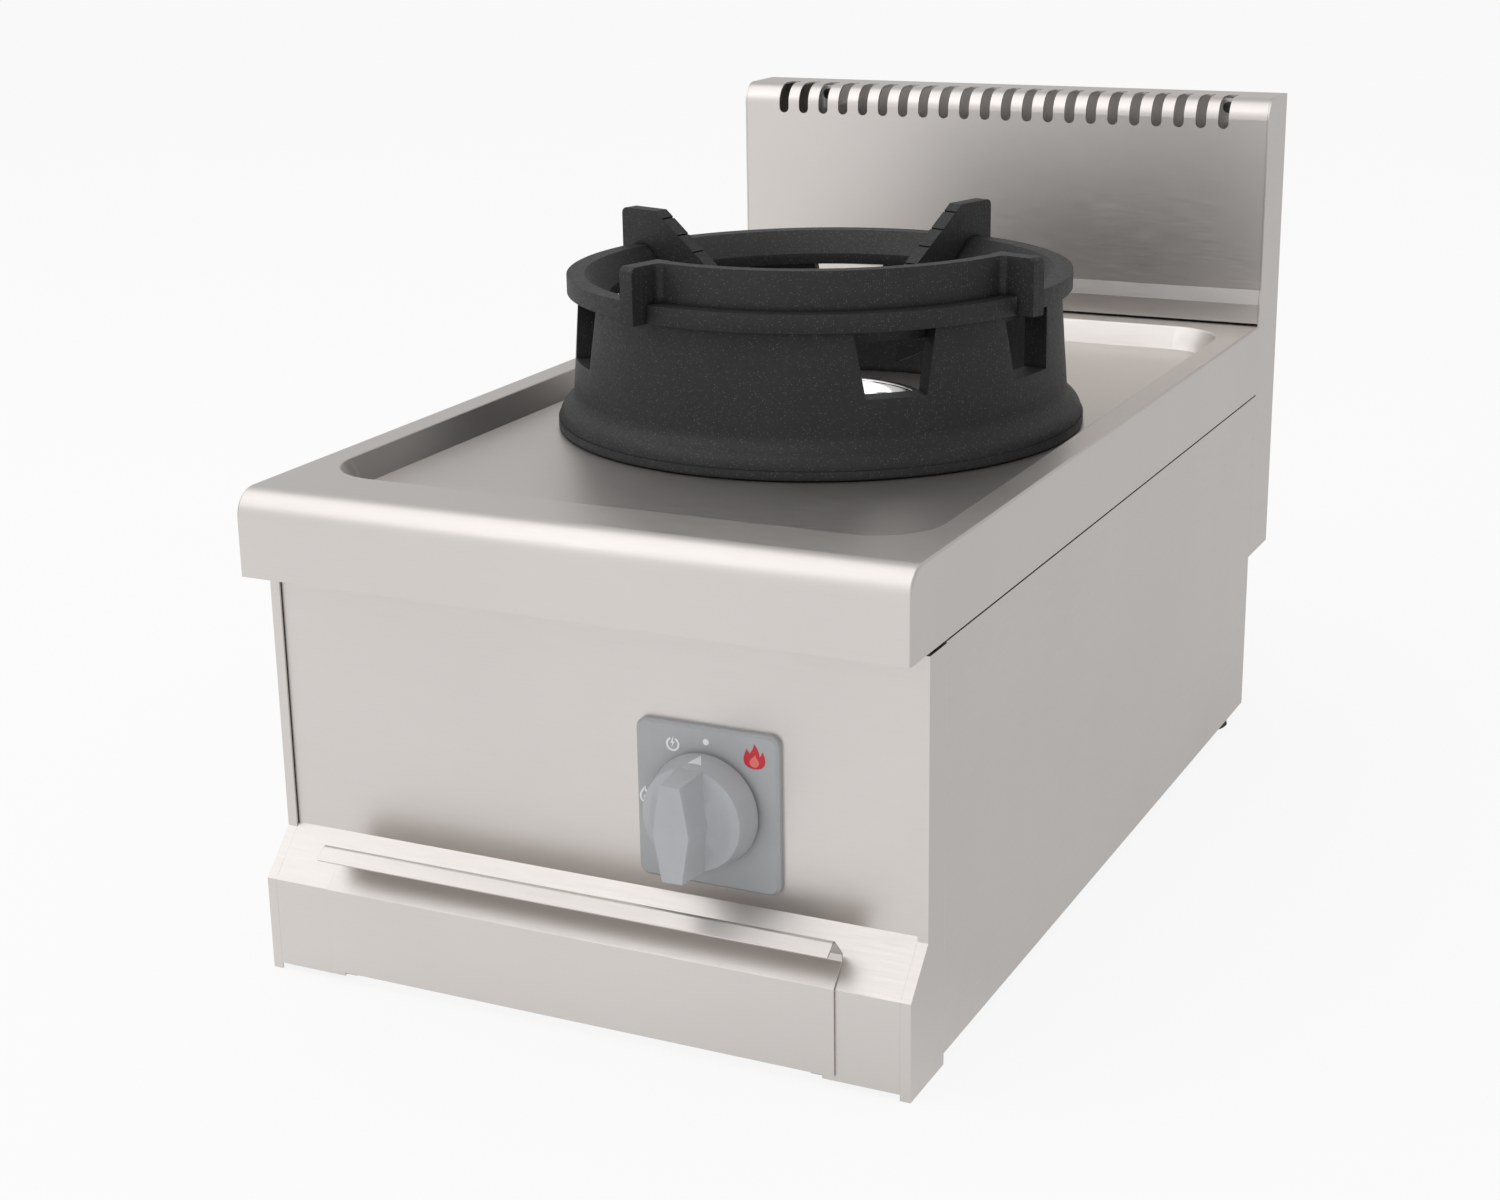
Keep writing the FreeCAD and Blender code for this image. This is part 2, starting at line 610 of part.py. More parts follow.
def rear_panel():
    half = HALF - SHEET
    top = WORKTOP_HEIGHT - REAR_TURN_DOWN
    panel = box(-half, half, BODY_DEPTH, BODY_DEPTH + SHEET, SIDE_BOTTOM, top)
    flue_top = WORKTOP_HEIGHT - DUCT_OPENING_DROP
    flue_half = DUCT_OPENING_WIDTH / 2
    opening = box(-flue_half, flue_half, BODY_DEPTH - PAST, BODY_DEPTH + SHEET + PAST,
                  flue_top - DUCT_OPENING_HEIGHT, flue_top)
    inlet = through_hole(INLET_RADIUS, SUPPLY_X, BODY_DEPTH, BODY_DEPTH + SHEET, INLET_Z)
    return panel.cut([opening, inlet])


def rear_feet():
    feet = []
    for x in (-HALF + FOOT_INSET_X, HALF - FOOT_INSET_X):
        place = (x, BODY_DEPTH - FOOT_INSET_Y, 0)
        pad = turned([(0, 0), (FOOT_RADIUS - FOOT_EDGE, 0), (FOOT_RADIUS, FOOT_EDGE),
                      (FOOT_RADIUS - FOOT_EDGE, SIDE_BOTTOM), (0, SIDE_BOTTOM)], place, Z_AXIS)
        stud = rod(FOOT_STUD_RADIUS, place, Z_AXIS, SIDE_BOTTOM + FOOT_STUD_LENGTH)
        feet.append(pad.fuse(stud))
    return group(feet)


def foot_holes(panel):
    for x in (-HALF + FOOT_INSET_X, HALF - FOOT_INSET_X):
        panel = panel.cut(upright_hole(FOOT_STUD_RADIUS, x, BODY_DEPTH - FOOT_INSET_Y, SIDE_BOTTOM,
                                       SIDE_BOTTOM + SHEET))
    return panel


# ---- flue riser ----

def riser_line():
    """Outer face of the riser sheet from its foot to the top of the front curve, straight part."""
    foot = WORKTOP_HEIGHT + RISER_FOOT_GAP
    face = BODY_DEPTH + RISER_STEP
    return [
        (BODY_DEPTH, foot),
        (BODY_DEPTH, WORKTOP_HEIGHT + RISER_BAND_TOP),
        (face, WORKTOP_HEIGHT + RISER_STEP_TOP),
        (face, RISER_TOP - RISER_RADIUS),
    ]


def riser_outline(inset):
    """Closed outline of the riser's profile, as edges, inset by a sheet thickness where asked."""
    face = BODY_DEPTH + RISER_STEP
    radius = RISER_RADIUS - inset
    centre = (face + RISER_RADIUS, RISER_TOP - RISER_RADIUS)
    line = offset_line(riser_line(), -inset) if inset else riser_line()
    back = RISER_BACK - inset
    diagonal = radius / math.sqrt(2)
    places = [FreeCAD.Vector(0, y, z) for y, z in line]
    arc_middle = FreeCAD.Vector(0, centre[0] - diagonal, centre[1] + diagonal)
    arc_end = FreeCAD.Vector(0, centre[0], RISER_TOP - inset)
    top_back = FreeCAD.Vector(0, back, RISER_TOP - inset)
    bottom_back = FreeCAD.Vector(0, back, line[0][1])
    edges = [Part.LineSegment(a, b).toShape() for a, b in zip(places, places[1:])]
    edges.append(Part.Arc(places[-1], arc_middle, arc_end).toShape())
    edges.append(Part.LineSegment(arc_end, top_back).toShape())
    edges.append(Part.LineSegment(top_back, bottom_back).toShape())
    edges.append(Part.LineSegment(bottom_back, places[0]).toShape())
    return Part.Wire(edges)


def riser_block(inset, half):
    face = Part.Face(riser_outline(inset))
    block = face.extrude(FreeCAD.Vector(2 * half, 0, 0))
    block.translate(FreeCAD.Vector(-half, 0, 0))
    return block


def slot_tool(x):
    """Slot over the riser's curved edge, with a round end on the face and one on the top."""
    radius = SLOT_WIDTH / 2
    face = BODY_DEPTH + RISER_STEP
    low = RISER_TOP - SLOT_FRONT_DROP
    far = face + SLOT_TOP_REACH
    middle = box(x - radius, x + radius, face - PAST, far, low, RISER_TOP + PAST)
    front_end = rod(radius, (x, face - PAST, low), Y_AXIS, SLOT_TOP_REACH)
    top_end = rod(radius, (x, far, low), Z_AXIS, SLOT_FRONT_DROP + PAST)
    return middle.fuse([front_end, top_end])


def riser_shell():
    half = HALF - SHEET - RISER_SEAM
    shell = riser_block(0, half).cut(riser_block(SHEET, HALF))
    below = box(-HALF, HALF, BODY_DEPTH + RISER_STEP + SHEET, RISER_BACK + PAST,
                0, RISER_TOP - RISER_REAR_FLANGE)
    shell = shell.cut(below)
    first = -SLOT_PITCH * (SLOT_COUNT - 1) / 2
    slots = [slot_tool(first + SLOT_PITCH * i) for i in range(SLOT_COUNT)]
    return shell.cut(slots)


def riser_cheek_right():
    cheek = riser_block(0, SHEET / 2)
    drop = box(-SHEET / 2, SHEET / 2, BODY_DEPTH, RISER_BACK, RISER_DROP, WORKTOP_HEIGHT + RISER_BAND_TOP)
    cheek = cheek.fuse(drop)
    cheek.translate(FreeCAD.Vector(HALF - SHEET / 2, 0, 0))
    inside = RISER_BACK - 2 * SHEET
    flange = box(HALF - SHEET - CHEEK_FLANGE, HALF, inside - SHEET, inside,
                 RISER_DROP + SHEET, RISER_TOP - RISER_REAR_FLANGE)
    return one_solid(cheek.fuse(flange))


def riser_back():
    half = HALF - SHEET
    back = RISER_BACK - SHEET
    return box(-half, half, back - SHEET, back, RISER_DROP, RISER_TOP - SHEET)


def duct_floor():
    half = HALF - SHEET
    return box(-half, half, BODY_DEPTH + SHEET, RISER_BACK - 2 * SHEET, RISER_DROP, RISER_DROP + SHEET)


def riser_clips():
    """Two clips behind the slots, which tie the curved edge to the back."""
    face = BODY_DEPTH + RISER_STEP
    half = RISER_CLIP_WIDTH / 2
    clips = []
    for x in riser_screw_places():
        clip = box(x - half, x + half, face + RISER_RADIUS, RISER_BACK - 2 * SHEET,
                   RISER_TOP - SHEET - SLOT_FRONT_DROP, RISER_TOP - SHEET - SLOT_FRONT_DROP + SHEET)
        tab = box(x - half, x + half, face + RISER_RADIUS, face + RISER_RADIUS + SHEET,
                  RISER_TOP - SHEET - SLOT_FRONT_DROP, RISER_TOP - SHEET)
        clips.append(one_solid(clip.fuse(tab)).cut(riser_screws()))
    return group(clips)


def riser_screw_places():
    return (RISER_TAB_CENTRE - RISER_TAB_SPAN / 2, RISER_TAB_CENTRE + RISER_TAB_SPAN / 2)


def riser_screws():
    face = BODY_DEPTH + RISER_STEP + RISER_RADIUS
    height = RISER_TOP - RISER_SCREW_DROP - SHEET
    return group([screw((x, face, height), Y_AXIS, PANEL_SCREW_LENGTH) for x in riser_screw_places()])


# ---- wok ring ----

def ring_azimuth(angle):
    """Angle from the front of the range towards its right side, as an angle from +X."""
    return angle - 90


def ring_body():
    origin = FreeCAD.Vector(0, RING_CENTRE_Y, RECESS_FLOOR)

    def at(radius, height):
        return origin + FreeCAD.Vector(radius, 0, height)

    # The foot swells out in two equal arcs, first rounded outward and then hollow.
    foot = RING_BASE_RADIUS - RING_LEDGE
    spread = foot - RING_WALL_LOW_RADIUS
    rise = RING_FLARE_TOP - RING_BASE_HEIGHT
    half_turn = math.atan(spread / rise)
    bend = rise / (2 * math.sin(2 * half_turn))
    side = bend * math.cos(half_turn)
    lift = bend * math.sin(half_turn)
    swell = at(foot - bend + side, RING_BASE_HEIGHT + lift)
    hollow = at(RING_WALL_LOW_RADIUS + bend - side, RING_FLARE_TOP - lift)
    between = at(foot - spread / 2, RING_BASE_HEIGHT + rise / 2)
    corners = [
        at(RING_WALL_LOW_RADIUS, RING_FLARE_TOP),
        at(RING_WALL_TOP_RADIUS, RING_BAND_BOTTOM),
        at(RING_BAND_RADIUS, RING_BAND_BOTTOM),
        at(RING_BAND_RADIUS, RING_BAND_TOP),
        at(RING_MOUTH_RADIUS, RING_BAND_TOP),
        at(RING_THROAT_RADIUS, RING_THROAT_HEIGHT),
        at(RING_THROAT_RADIUS, RING_THROAT_HEIGHT - RING_SKIRT),
        at(RING_THROAT_RADIUS + RING_SKIRT_WALL, RING_THROAT_HEIGHT - RING_SKIRT),
        at(RING_FOOT_INNER_RADIUS, 0),
        at(RING_BASE_RADIUS - RING_BEAD, 0),
        at(RING_BASE_RADIUS, RING_BEAD),
        at(RING_BASE_RADIUS, RING_BASE_HEIGHT),
        at(foot, RING_BASE_HEIGHT),
    ]
    edges = [Part.LineSegment(a, b).toShape() for a, b in zip(corners, corners[1:])]
    edges.append(Part.Arc(corners[-1], swell, between).toShape())
    edges.append(Part.Arc(between, hollow, corners[0]).toShape())
    profile = Part.Face(Part.Wire(edges))
    return profile.revolve(origin, Z_AXIS, 360)


def window_tool(azimuth):
    """Window, wide at the top, cut outward through the ring's wall but not through its skirt."""
    inner = RING_THROAT_RADIUS - GUARD_THICKNESS
    outer = RING_BASE_RADIUS + PAST
    points = [
        (-WINDOW_BOTTOM_HALF, WINDOW_BOTTOM),
        (WINDOW_BOTTOM_HALF, WINDOW_BOTTOM),
        (WINDOW_TOP_HALF, RING_BAND_BOTTOM),
        (-WINDOW_TOP_HALF, RING_BAND_BOTTOM),
    ]
    outline = [FreeCAD.Vector(inner, side, height) for side, height in points]
    tool = face_of(outline).extrude(FreeCAD.Vector(outer - inner, 0, 0))
    skirt_bottom = RING_THROAT_HEIGHT - RING_SKIRT
    skirt_outer = RING_THROAT_RADIUS + RING_SKIRT_WALL
    skirt = rod(skirt_outer, (0, 0, skirt_bottom), Z_AXIS, RING_BAND_TOP - skirt_bottom)
    return on_ring(tool.cut(skirt), azimuth)


def on_ring(shape, azimuth):
    """Turn a shape drawn along +X to an azimuth of the ring and set it on the recess floor."""
    shape.rotate(FreeCAD.Vector(0, 0, 0), Z_AXIS, ring_azimuth(azimuth))
    shape.translate(FreeCAD.Vector(0, RING_CENTRE_Y, RECESS_FLOOR))
    return shape


def finger(azimuth):
    """Radial plate that carries the wok on its sloped, notched inner edge."""
    fall = math.tan(math.radians(FINGER_SLOPE))
    tip_top = FINGER_TOP - (FINGER_SHOULDER_RADIUS - FINGER_TIP_RADIUS) * fall
    wall = (RING_THROAT_RADIUS + RING_WALL_TOP_RADIUS) / 2
    points = [
        (FINGER_END_RADIUS, RING_BAND_BOTTOM),
        (FINGER_END_RADIUS, FINGER_TOP),
        (FINGER_SHOULDER_RADIUS, FINGER_TOP),
        (FINGER_TIP_RADIUS, tip_top),
        (FINGER_TIP_RADIUS, tip_top - FINGER_TIP_HEIGHT),
        (wall, FINGER_ROOT_HEIGHT),
        (wall, RING_BAND_BOTTOM),
    ]
    half = FINGER_THICKNESS / 2
    outline = [FreeCAD.Vector(r, -half, h) for r, h in points]
    plate = face_of(outline).extrude(FreeCAD.Vector(0, 2 * half, 0))
    upper = [e for e in plate.Edges if e.BoundBox.ZMin > FINGER_TOP - EDGE_TOLERANCE]
    outer_corner = [e for e in upper if e.BoundBox.XMin > FINGER_END_RADIUS - EDGE_TOLERANCE]
    plate = plate.makeFillet(FINGER_CORNER, outer_corner)
    for i in range(FINGER_NOTCH_COUNT):
        radius = FINGER_SHOULDER_RADIUS - FINGER_NOTCH_FIRST - FINGER_NOTCH_PITCH * i
        height = FINGER_TOP - (FINGER_SHOULDER_RADIUS - radius) * fall
        notch = box(-FINGER_NOTCH_WIDTH / 2, FINGER_NOTCH_WIDTH / 2, -half - PAST, half + PAST,
                    -FINGER_NOTCH_DEPTH, FINGER_NOTCH_DEPTH)
        notch.rotate(FreeCAD.Vector(0, 0, 0), Y_AXIS, -FINGER_SLOPE)
        notch.translate(FreeCAD.Vector(radius, 0, height))
        plate = plate.cut(notch)
    return on_ring(plate, azimuth)


def guard():
    """Raised wall over the ring's front quarter, between its two front fingers."""
    span = 360 / FINGER_COUNT
    inner = GUARD_OUTER_RADIUS - GUARD_THICKNESS
    foot = RING_BAND_BOTTOM
    points = [
        (inner, foot),
        (GUARD_OUTER_RADIUS, foot),
        (GUARD_OUTER_RADIUS, FINGER_TOP),
        (inner, FINGER_TOP),
    ]
    outline = [FreeCAD.Vector(r, 0, h) for r, h in points]
    wall = face_of(outline).revolve(FreeCAD.Vector(0, 0, 0), Z_AXIS, span)
    wall.rotate(FreeCAD.Vector(0, 0, 0), Z_AXIS, -span / 2)
    return on_ring(wall, RING_TURN)


def guard_corners(ring):
    """Upright edges where the guard's outer face meets the sides of its two fingers."""
    corners = []
    for edge in edges_along(ring, Z_AXIS):
        place = edge.CenterOfMass
        radius = math.hypot(place.x, place.y - RING_CENTRE_Y)
        if abs(radius - GUARD_OUTER_RADIUS) < EDGE_TOLERANCE and place.z > RECESS_FLOOR + RING_BAND_TOP:
            corners.append(edge)
    return corners


def wok_ring():
    ring = ring_body()
    windows = [window_tool(WINDOW_FIRST + WINDOW_PITCH * i) for i in range(WINDOW_COUNT)]
    ring = ring.cut(windows)
    span = 360 / FINGER_COUNT
    fingers = [finger(RING_TURN + span * (i + 0.5)) for i in range(FINGER_COUNT)]
    ring = one_solid(ring.fuse(fingers + [guard()]))
    fillet = min(GUARD_FILLET, (FINGER_END_RADIUS - GUARD_OUTER_RADIUS) / 2)
    return ring.makeFillet(fillet, guard_corners(ring))


# ---- burner ----

def burner_bowl():
    rim = COLLAR_RADIUS + BOWL_RIM_OVERHANG
    wall = COLLAR_RADIUS - BOWL_WALL_INSET
    floor = BOWL_RIM - BOWL_DEPTH
    points = [
        (rim, 0),
        (rim, BOWL_RIM - BOWL_RIM_BEVEL),
        (rim - BOWL_RIM_BEVEL, BOWL_RIM),
        (wall - SHEET, BOWL_RIM),
        (wall - SHEET - BOWL_TAPER, floor + SHEET),
        (BOWL_HUB_RADIUS + SHEET, floor + SHEET),
        (BOWL_HUB_RADIUS + SHEET, floor + BOWL_HUB_RISE),
        (BOWL_HUB_RADIUS, floor + BOWL_HUB_RISE),
        (BOWL_HUB_RADIUS, floor),
        (wall - BOWL_TAPER, floor),
        (wall, 0),
    ]
    return turned(points, (0, RING_CENTRE_Y, COLLAR_TOP), Z_AXIS)


def burner_body():
    chamber = BURNER_RADIUS - BURNER_WALL
    waist = BURNER_RADIUS - BURNER_COLLAR
    points = [
        (0, 0), (waist, 0), (waist, BURNER_HEIGHT - BURNER_WALL),
        (BURNER_RADIUS, BURNER_HEIGHT - BURNER_WALL), (BURNER_RADIUS, BURNER_HEIGHT),
        (chamber, BURNER_HEIGHT), (chamber, BURNER_WALL), (0, BURNER_WALL),
    ]
    pot = turned(points, (0, RING_CENTRE_Y, BURNER_BOTTOM), Z_AXIS)
    boss = rod(BURNER_BOSS_RADIUS, (0, BOSS_FACE_Y, GAS_AXIS_Z), Y_AXIS, BURNER_BOSS_LENGTH + BURNER_WALL)
    half = BURNER_FOOT / 2
    foot = box(-half, half, RING_CENTRE_Y - half, RING_CENTRE_Y + half,
               BURNER_BOTTOM - BURNER_FOOT_THICKNESS, BURNER_BOTTOM)
    port = rod(TUBE_BORE, (0, BOSS_FACE_Y - PAST, GAS_AXIS_Z), Y_AXIS,
               BURNER_BOSS_LENGTH + BURNER_RADIUS + PAST)
    body = pot.fuse([boss, foot]).cut(port)
    return one_solid(body.cut(burner_bolts()))


def burner_bolt_places():
    reach = BURNER_FOOT / 2 - BOLT_INSET
    return [(sx * reach, RING_CENTRE_Y + sy * reach) for sx in (-1, 1) for sy in (-1, 1)]


def burner_cap():
    spigot = BURNER_RADIUS - BURNER_WALL - LOOSE_FIT
    crown = CAP_HEIGHT - CAP_CROWN
    wall = spigot - CAP_WALL
    points = [
        (wall, -CAP_SPIGOT), (spigot, -CAP_SPIGOT), (spigot, 0), (BURNER_RADIUS, 0), (BURNER_RADIUS, crown),
        (CAP_CENTRE_RADIUS, CAP_HEIGHT), (0, CAP_HEIGHT), (0, crown), (wall, crown),
    ]
    cap = turned(points, (0, RING_CENTRE_Y, BURNER_TOP), Z_AXIS)
    ports = []
    for i in range(CAP_PORTS):
        port = box(wall - PAST, BURNER_RADIUS + PAST, -CAP_PORT_WIDTH / 2, CAP_PORT_WIDTH / 2,
                   CAP_PORT_SILL, CAP_PORT_HEIGHT)
        port.rotate(FreeCAD.Vector(0, 0, 0), Z_AXIS, 360 * i / CAP_PORTS)
        port.translate(FreeCAD.Vector(0, RING_CENTRE_Y, BURNER_TOP))
        ports.append(port)
    return cap.cut(ports)


def air_windows(start, length):
    """Sector windows in a disc that faces the front, from a start in Y."""
    outer = BELL_RADIUS - AIR_WINDOW_RIM
    centre = FreeCAD.Vector(0, start, GAS_AXIS_Z)
    sectors = []
    for i in range(AIR_WINDOWS):
        sector = Part.makeCylinder(outer, length, centre, Y_AXIS, AIR_WINDOW_ANGLE)
        sector.rotate(centre, Y_AXIS, 360 * i / AIR_WINDOWS)
        sectors.append(sector)
    hub = rod(AIR_WINDOW_INNER, (0, start, GAS_AXIS_Z), Y_AXIS, length)
    return sectors[0].fuse(sectors[1:]).cut(hub)


def mixing_tube():
    bore = HOLDER_RADIUS + LOOSE_FIT
    bell_bore = BELL_RADIUS - TUBE_WALL
    points = [
        (bore, 0), (BELL_RADIUS, 0), (BELL_RADIUS, BELL_RIM), (TUBE_THROAT + TUBE_WALL, BELL_LENGTH),
        (TUBE_BORE + TUBE_WALL, TUBE_LENGTH), (TUBE_BORE, TUBE_LENGTH), (TUBE_THROAT, BELL_LENGTH),
        (bell_bore, BELL_RIM), (bell_bore, BELL_FACE), (bore, BELL_FACE),
    ]
    tube = turned(points, (0, BELL_FACE_Y, GAS_AXIS_Z), Y_AXIS)
    return tube.cut(air_windows(BELL_FACE_Y - PAST, BELL_FACE + 2 * PAST))


def air_shutter():
    disc = rod(BELL_RADIUS, (0, SHUTTER_FACE_Y, GAS_AXIS_Z), Y_AXIS, SHUTTER_THICKNESS)
    hole = through_hole(HOLDER_RADIUS + PIPE_FIT, 0, SHUTTER_FACE_Y, BELL_FACE_Y, GAS_AXIS_Z)
    return disc.cut([hole, air_windows(SHUTTER_FACE_Y - PAST, SHUTTER_THICKNESS + 2 * PAST)])


def injector_holder():
    half = HOLDER_BLOCK / 2
    block = box(-half, half, HOLDER_FACE_Y - HOLDER_BLOCK, HOLDER_FACE_Y,
                GAS_AXIS_Z - half, GAS_AXIS_Z + half)
    spigot = rod(HOLDER_RADIUS, (0, HOLDER_FACE_Y, GAS_AXIS_Z), Y_AXIS, HOLDER_LENGTH)
    bore = rod(INJECTOR_RADIUS, (0, HOLDER_FACE_Y + HOLDER_LENGTH - INJECTOR_LENGTH, GAS_AXIS_Z), Y_AXIS,
               INJECTOR_LENGTH)
    way = rod(HOLDER_BORE, (0, HOLDER_FACE_Y - HOLDER_BLOCK, GAS_AXIS_Z), Y_AXIS,
              HOLDER_BLOCK + HOLDER_LENGTH)
    return block.fuse(spigot).cut([bore, way])


def injector():
    start = HOLDER_FACE_Y + HOLDER_LENGTH - INJECTOR_LENGTH
    end = INJECTOR_LENGTH + INJECTOR_TIP
    points = [
        (INJECTOR_BORE, 0), (INJECTOR_RADIUS, 0), (INJECTOR_RADIUS, INJECTOR_LENGTH),
        (INJECTOR_TIP_RADIUS, end), (INJECTOR_BORE, end),
    ]
    return turned(points, (0, start, GAS_AXIS_Z), Y_AXIS)


def burner_bracket():
    top = BURNER_BOTTOM - BURNER_FOOT_THICKNESS
    half = BURNER_FOOT / 2 + BRACKET_MARGIN
    ends = HALF - SHEET
    front = RING_CENTRE_Y - half
    back = RING_CENTRE_Y + half
    plate = box(-ends, ends, front, back, top - BRACKET_SHEET, top)
    parts = []
    for y in (front, back - BRACKET_SHEET):
        parts.append(box(-ends, ends, y, y + BRACKET_SHEET, top - BRACKET_LIP, top))
    for x in (-ends, ends - BRACKET_SHEET):
        parts.append(box(x, x + BRACKET_SHEET, front, back, top - BRACKET_END, top))
    return one_solid(plate.fuse(parts).cut(burner_bolts()))


def burner_bolts():
    length = BURNER_FOOT_THICKNESS + BRACKET_SHEET + BOLT_HEAD
    down = FreeCAD.Vector(0, 0, -1)
    return group([screw((x, y, BURNER_BOTTOM), down, length, BOLT_RADIUS, BOLT_HEAD_RADIUS, BOLT_HEAD)
                  for x, y in burner_bolt_places()])


# ---- pilot ----

def pilot_place(side):
    """Place of a pilot part in the ring-shaped gap beside the burner."""
    angle = math.radians(PILOT_AZIMUTH + side * PILOT_SPREAD)
    return PILOT_ORBIT * math.sin(angle), RING_CENTRE_Y - PILOT_ORBIT * math.cos(angle)


def pilot_bracket():
    z = PILOT_BASE + PILOT_PLATE_RISE
    half = PILOT_PLATE_WIDTH / 2
    plate = box(0, PILOT_ORBIT + PILOT_PLATE_MARGIN, -half, half, z, z + PILOT_PLATE)
    plate.rotate(FreeCAD.Vector(0, 0, 0), Z_AXIS, ring_azimuth(PILOT_AZIMUTH))
    plate.translate(FreeCAD.Vector(0, RING_CENTRE_Y, 0))
    holes = [upright_hole(BURNER_RADIUS - BURNER_COLLAR, 0, RING_CENTRE_Y, z, z + PILOT_PLATE)]
    for side, radius in ((-1, ELECTRODE_RADIUS), (0, PILOT_RADIUS), (1, THERMOCOUPLE_RADIUS)):
        holes.append(upright_hole(radius, *pilot_place(side), z, z + PILOT_PLATE))
    return plate.cut(holes)


def pilot_burner():
    x, y = pilot_place(0)
    tube = rod(PILOT_RADIUS, (x, y, PILOT_BASE), Z_AXIS, PILOT_LENGTH)
    mouth = box(x - PILOT_RADIUS - PAST, x, y - PILOT_MOUTH / 2, y + PILOT_MOUTH / 2,
                PILOT_TOP - 2 * PILOT_MOUTH, PILOT_TOP - PILOT_MOUTH)
    return tube.cut(mouth)


def thermocouple():
    x, y = pilot_place(1)
    return rod(THERMOCOUPLE_RADIUS, (x, y, PILOT_BASE), Z_AXIS, PILOT_LENGTH)


def spark_electrode():
    x, y = pilot_place(-1)
    body = PILOT_LENGTH - ELECTRODE_WIRE_LENGTH
    ceramic = rod(ELECTRODE_RADIUS, (x, y, PILOT_BASE), Z_AXIS, body)
    wire = rod(ELECTRODE_WIRE, (x, y, PILOT_BASE + body), Z_AXIS, ELECTRODE_WIRE_LENGTH)
    return ceramic.fuse(wire)


def pilot_line(start, side, run, rise, radius):
    """Tube or lead from start to the rear, over the bracket and up into a pilot part from below."""
    x, y = pilot_place(side)
    level = BURNER_BOTTOM + rise
    points = [
        start,
        (start[0], start[1] + run, start[2]),
        (x, y - run, level),
        (x, y, level),
        (x, y, PILOT_BASE),
    ]
    return bent_tube(points, radius, rise)


def pilot_tube():
    start = (KNOB_X - VALVE_PORT, VALVE_BACK, KNOB_Z + VALVE_PORT)
    return pilot_line(start, 0, PILOT_RUN, PILOT_RUN_RISE, PILOT_TUBE_RADIUS)


def thermocouple_lead():
    start = (KNOB_X, VALVE_BACK + MAGNET_LENGTH, KNOB_Z - VALVE_PORT)
    return pilot_line(start, 1, LEAD_RUN, LEAD_RUN_RISE, LEAD_RADIUS)


def igniter_z():
    """Height of the igniter's underside, on the valve flange."""
    return KNOB_Z + VALVE_FLANGE / 2


def piezo_igniter():
    x = KNOB_X - IGNITER_WIDTH / 2
    z = igniter_z()
    block = box(x, x + IGNITER_WIDTH, FASCIA_REAR, FASCIA_REAR + IGNITER_DEPTH, z, z + IGNITER_HEIGHT)
    nose_start = (KNOB_X, FASCIA_REAR + IGNITER_DEPTH, z + IGNITER_HEIGHT / 2)
    nose = rod(IGNITER_NOSE, nose_start, Y_AXIS, IGNITER_NOSE)
    return block.fuse(nose)


def ignition_lead():
    start = (KNOB_X, FASCIA_REAR + IGNITER_DEPTH + IGNITER_NOSE, igniter_z() + IGNITER_HEIGHT / 2)
    return pilot_line(start, -1, LEAD_RUN, LEAD_RUN_RISE, LEAD_RADIUS)


# ---- gas train ----

def valve_screw_places():
    reach = VALVE_FLANGE / 2 - VALVE_SCREW_INSET
    return (KNOB_X - reach, KNOB_X + reach)


def gas_valve():
    half = VALVE_WIDTH / 2
    body = box(KNOB_X - half, KNOB_X + half, FASCIA_REAR, VALVE_BACK, KNOB_Z - half, KNOB_Z + half)
    wide = VALVE_FLANGE / 2
    flange = box(KNOB_X - wide, KNOB_X + wide, FASCIA_REAR, FASCIA_REAR + VALVE_FLANGE_THICKNESS,
                 KNOB_Z - half, KNOB_Z + wide)
    stem_way = STEM_RADIUS + STEM_HOLE_CLEARANCE
    ways = [
        rod(stem_way, (KNOB_X, FASCIA_REAR - PAST, KNOB_Z), Y_AXIS, PLUG_SETBACK + PAST),
        rod(PLUG_RADIUS + PIPE_FIT, (KNOB_X, PLUG_FRONT, KNOB_Z), Y_AXIS, PLUG_LENGTH),
    ]
    return one_solid(body.fuse(flange).cut(ways).cut(valve_screws()))


def valve_plug():
    plug = rod(PLUG_RADIUS, (KNOB_X, PLUG_FRONT, KNOB_Z), Y_AXIS, PLUG_LENGTH - PIPE_FIT)
    bore_length = PLUG_LENGTH - PLUG_END + PAST
    bore = rod(STEM_RADIUS + PIPE_FIT, (KNOB_X, PLUG_FRONT - PAST, KNOB_Z), Y_AXIS, bore_length)
    reach = PLUG_RADIUS + PAST
    gas_way = rod(PLUG_GAS_WAY, (KNOB_X - reach, PIPE_Y, KNOB_Z), X_AXIS, 2 * reach)
    return plug.cut([bore, gas_way])


def valve_stem():
    return rod(STEM_RADIUS, (KNOB_X, STEM_FRONT, KNOB_Z), Y_AXIS, STEM_BACK - STEM_FRONT)


def valve_magnet():
    z = KNOB_Z - VALVE_PORT
    case = rod(MAGNET_RADIUS, (KNOB_X, VALVE_BACK, z), Y_AXIS, MAGNET_CASE_LENGTH)
    nut = rod(MAGNET_NUT_RADIUS, (KNOB_X, VALVE_BACK, z), Y_AXIS, MAGNET_LENGTH)
    return case.fuse(nut)


def valve_screws():
    length = SHEET + VALVE_FLANGE_THICKNESS + SCREW_HEAD
    return group([screw((x, FASCIA_FACE, KNOB_Z), Y_AXIS, length) for x in valve_screw_places()])


def supply_pipe():
    valve_side = KNOB_X + VALVE_WIDTH / 2
    points = [
        (SUPPLY_X, BODY_DEPTH - INLET_NUT, INLET_Z),
        (SUPPLY_X, PIPE_Y, INLET_Z),
        (SUPPLY_X, PIPE_Y, KNOB_Z),
        (valve_side, PIPE_Y, KNOB_Z),
    ]
    return bent_tube(points, SUPPLY_RADIUS, SUPPLY_BEND)


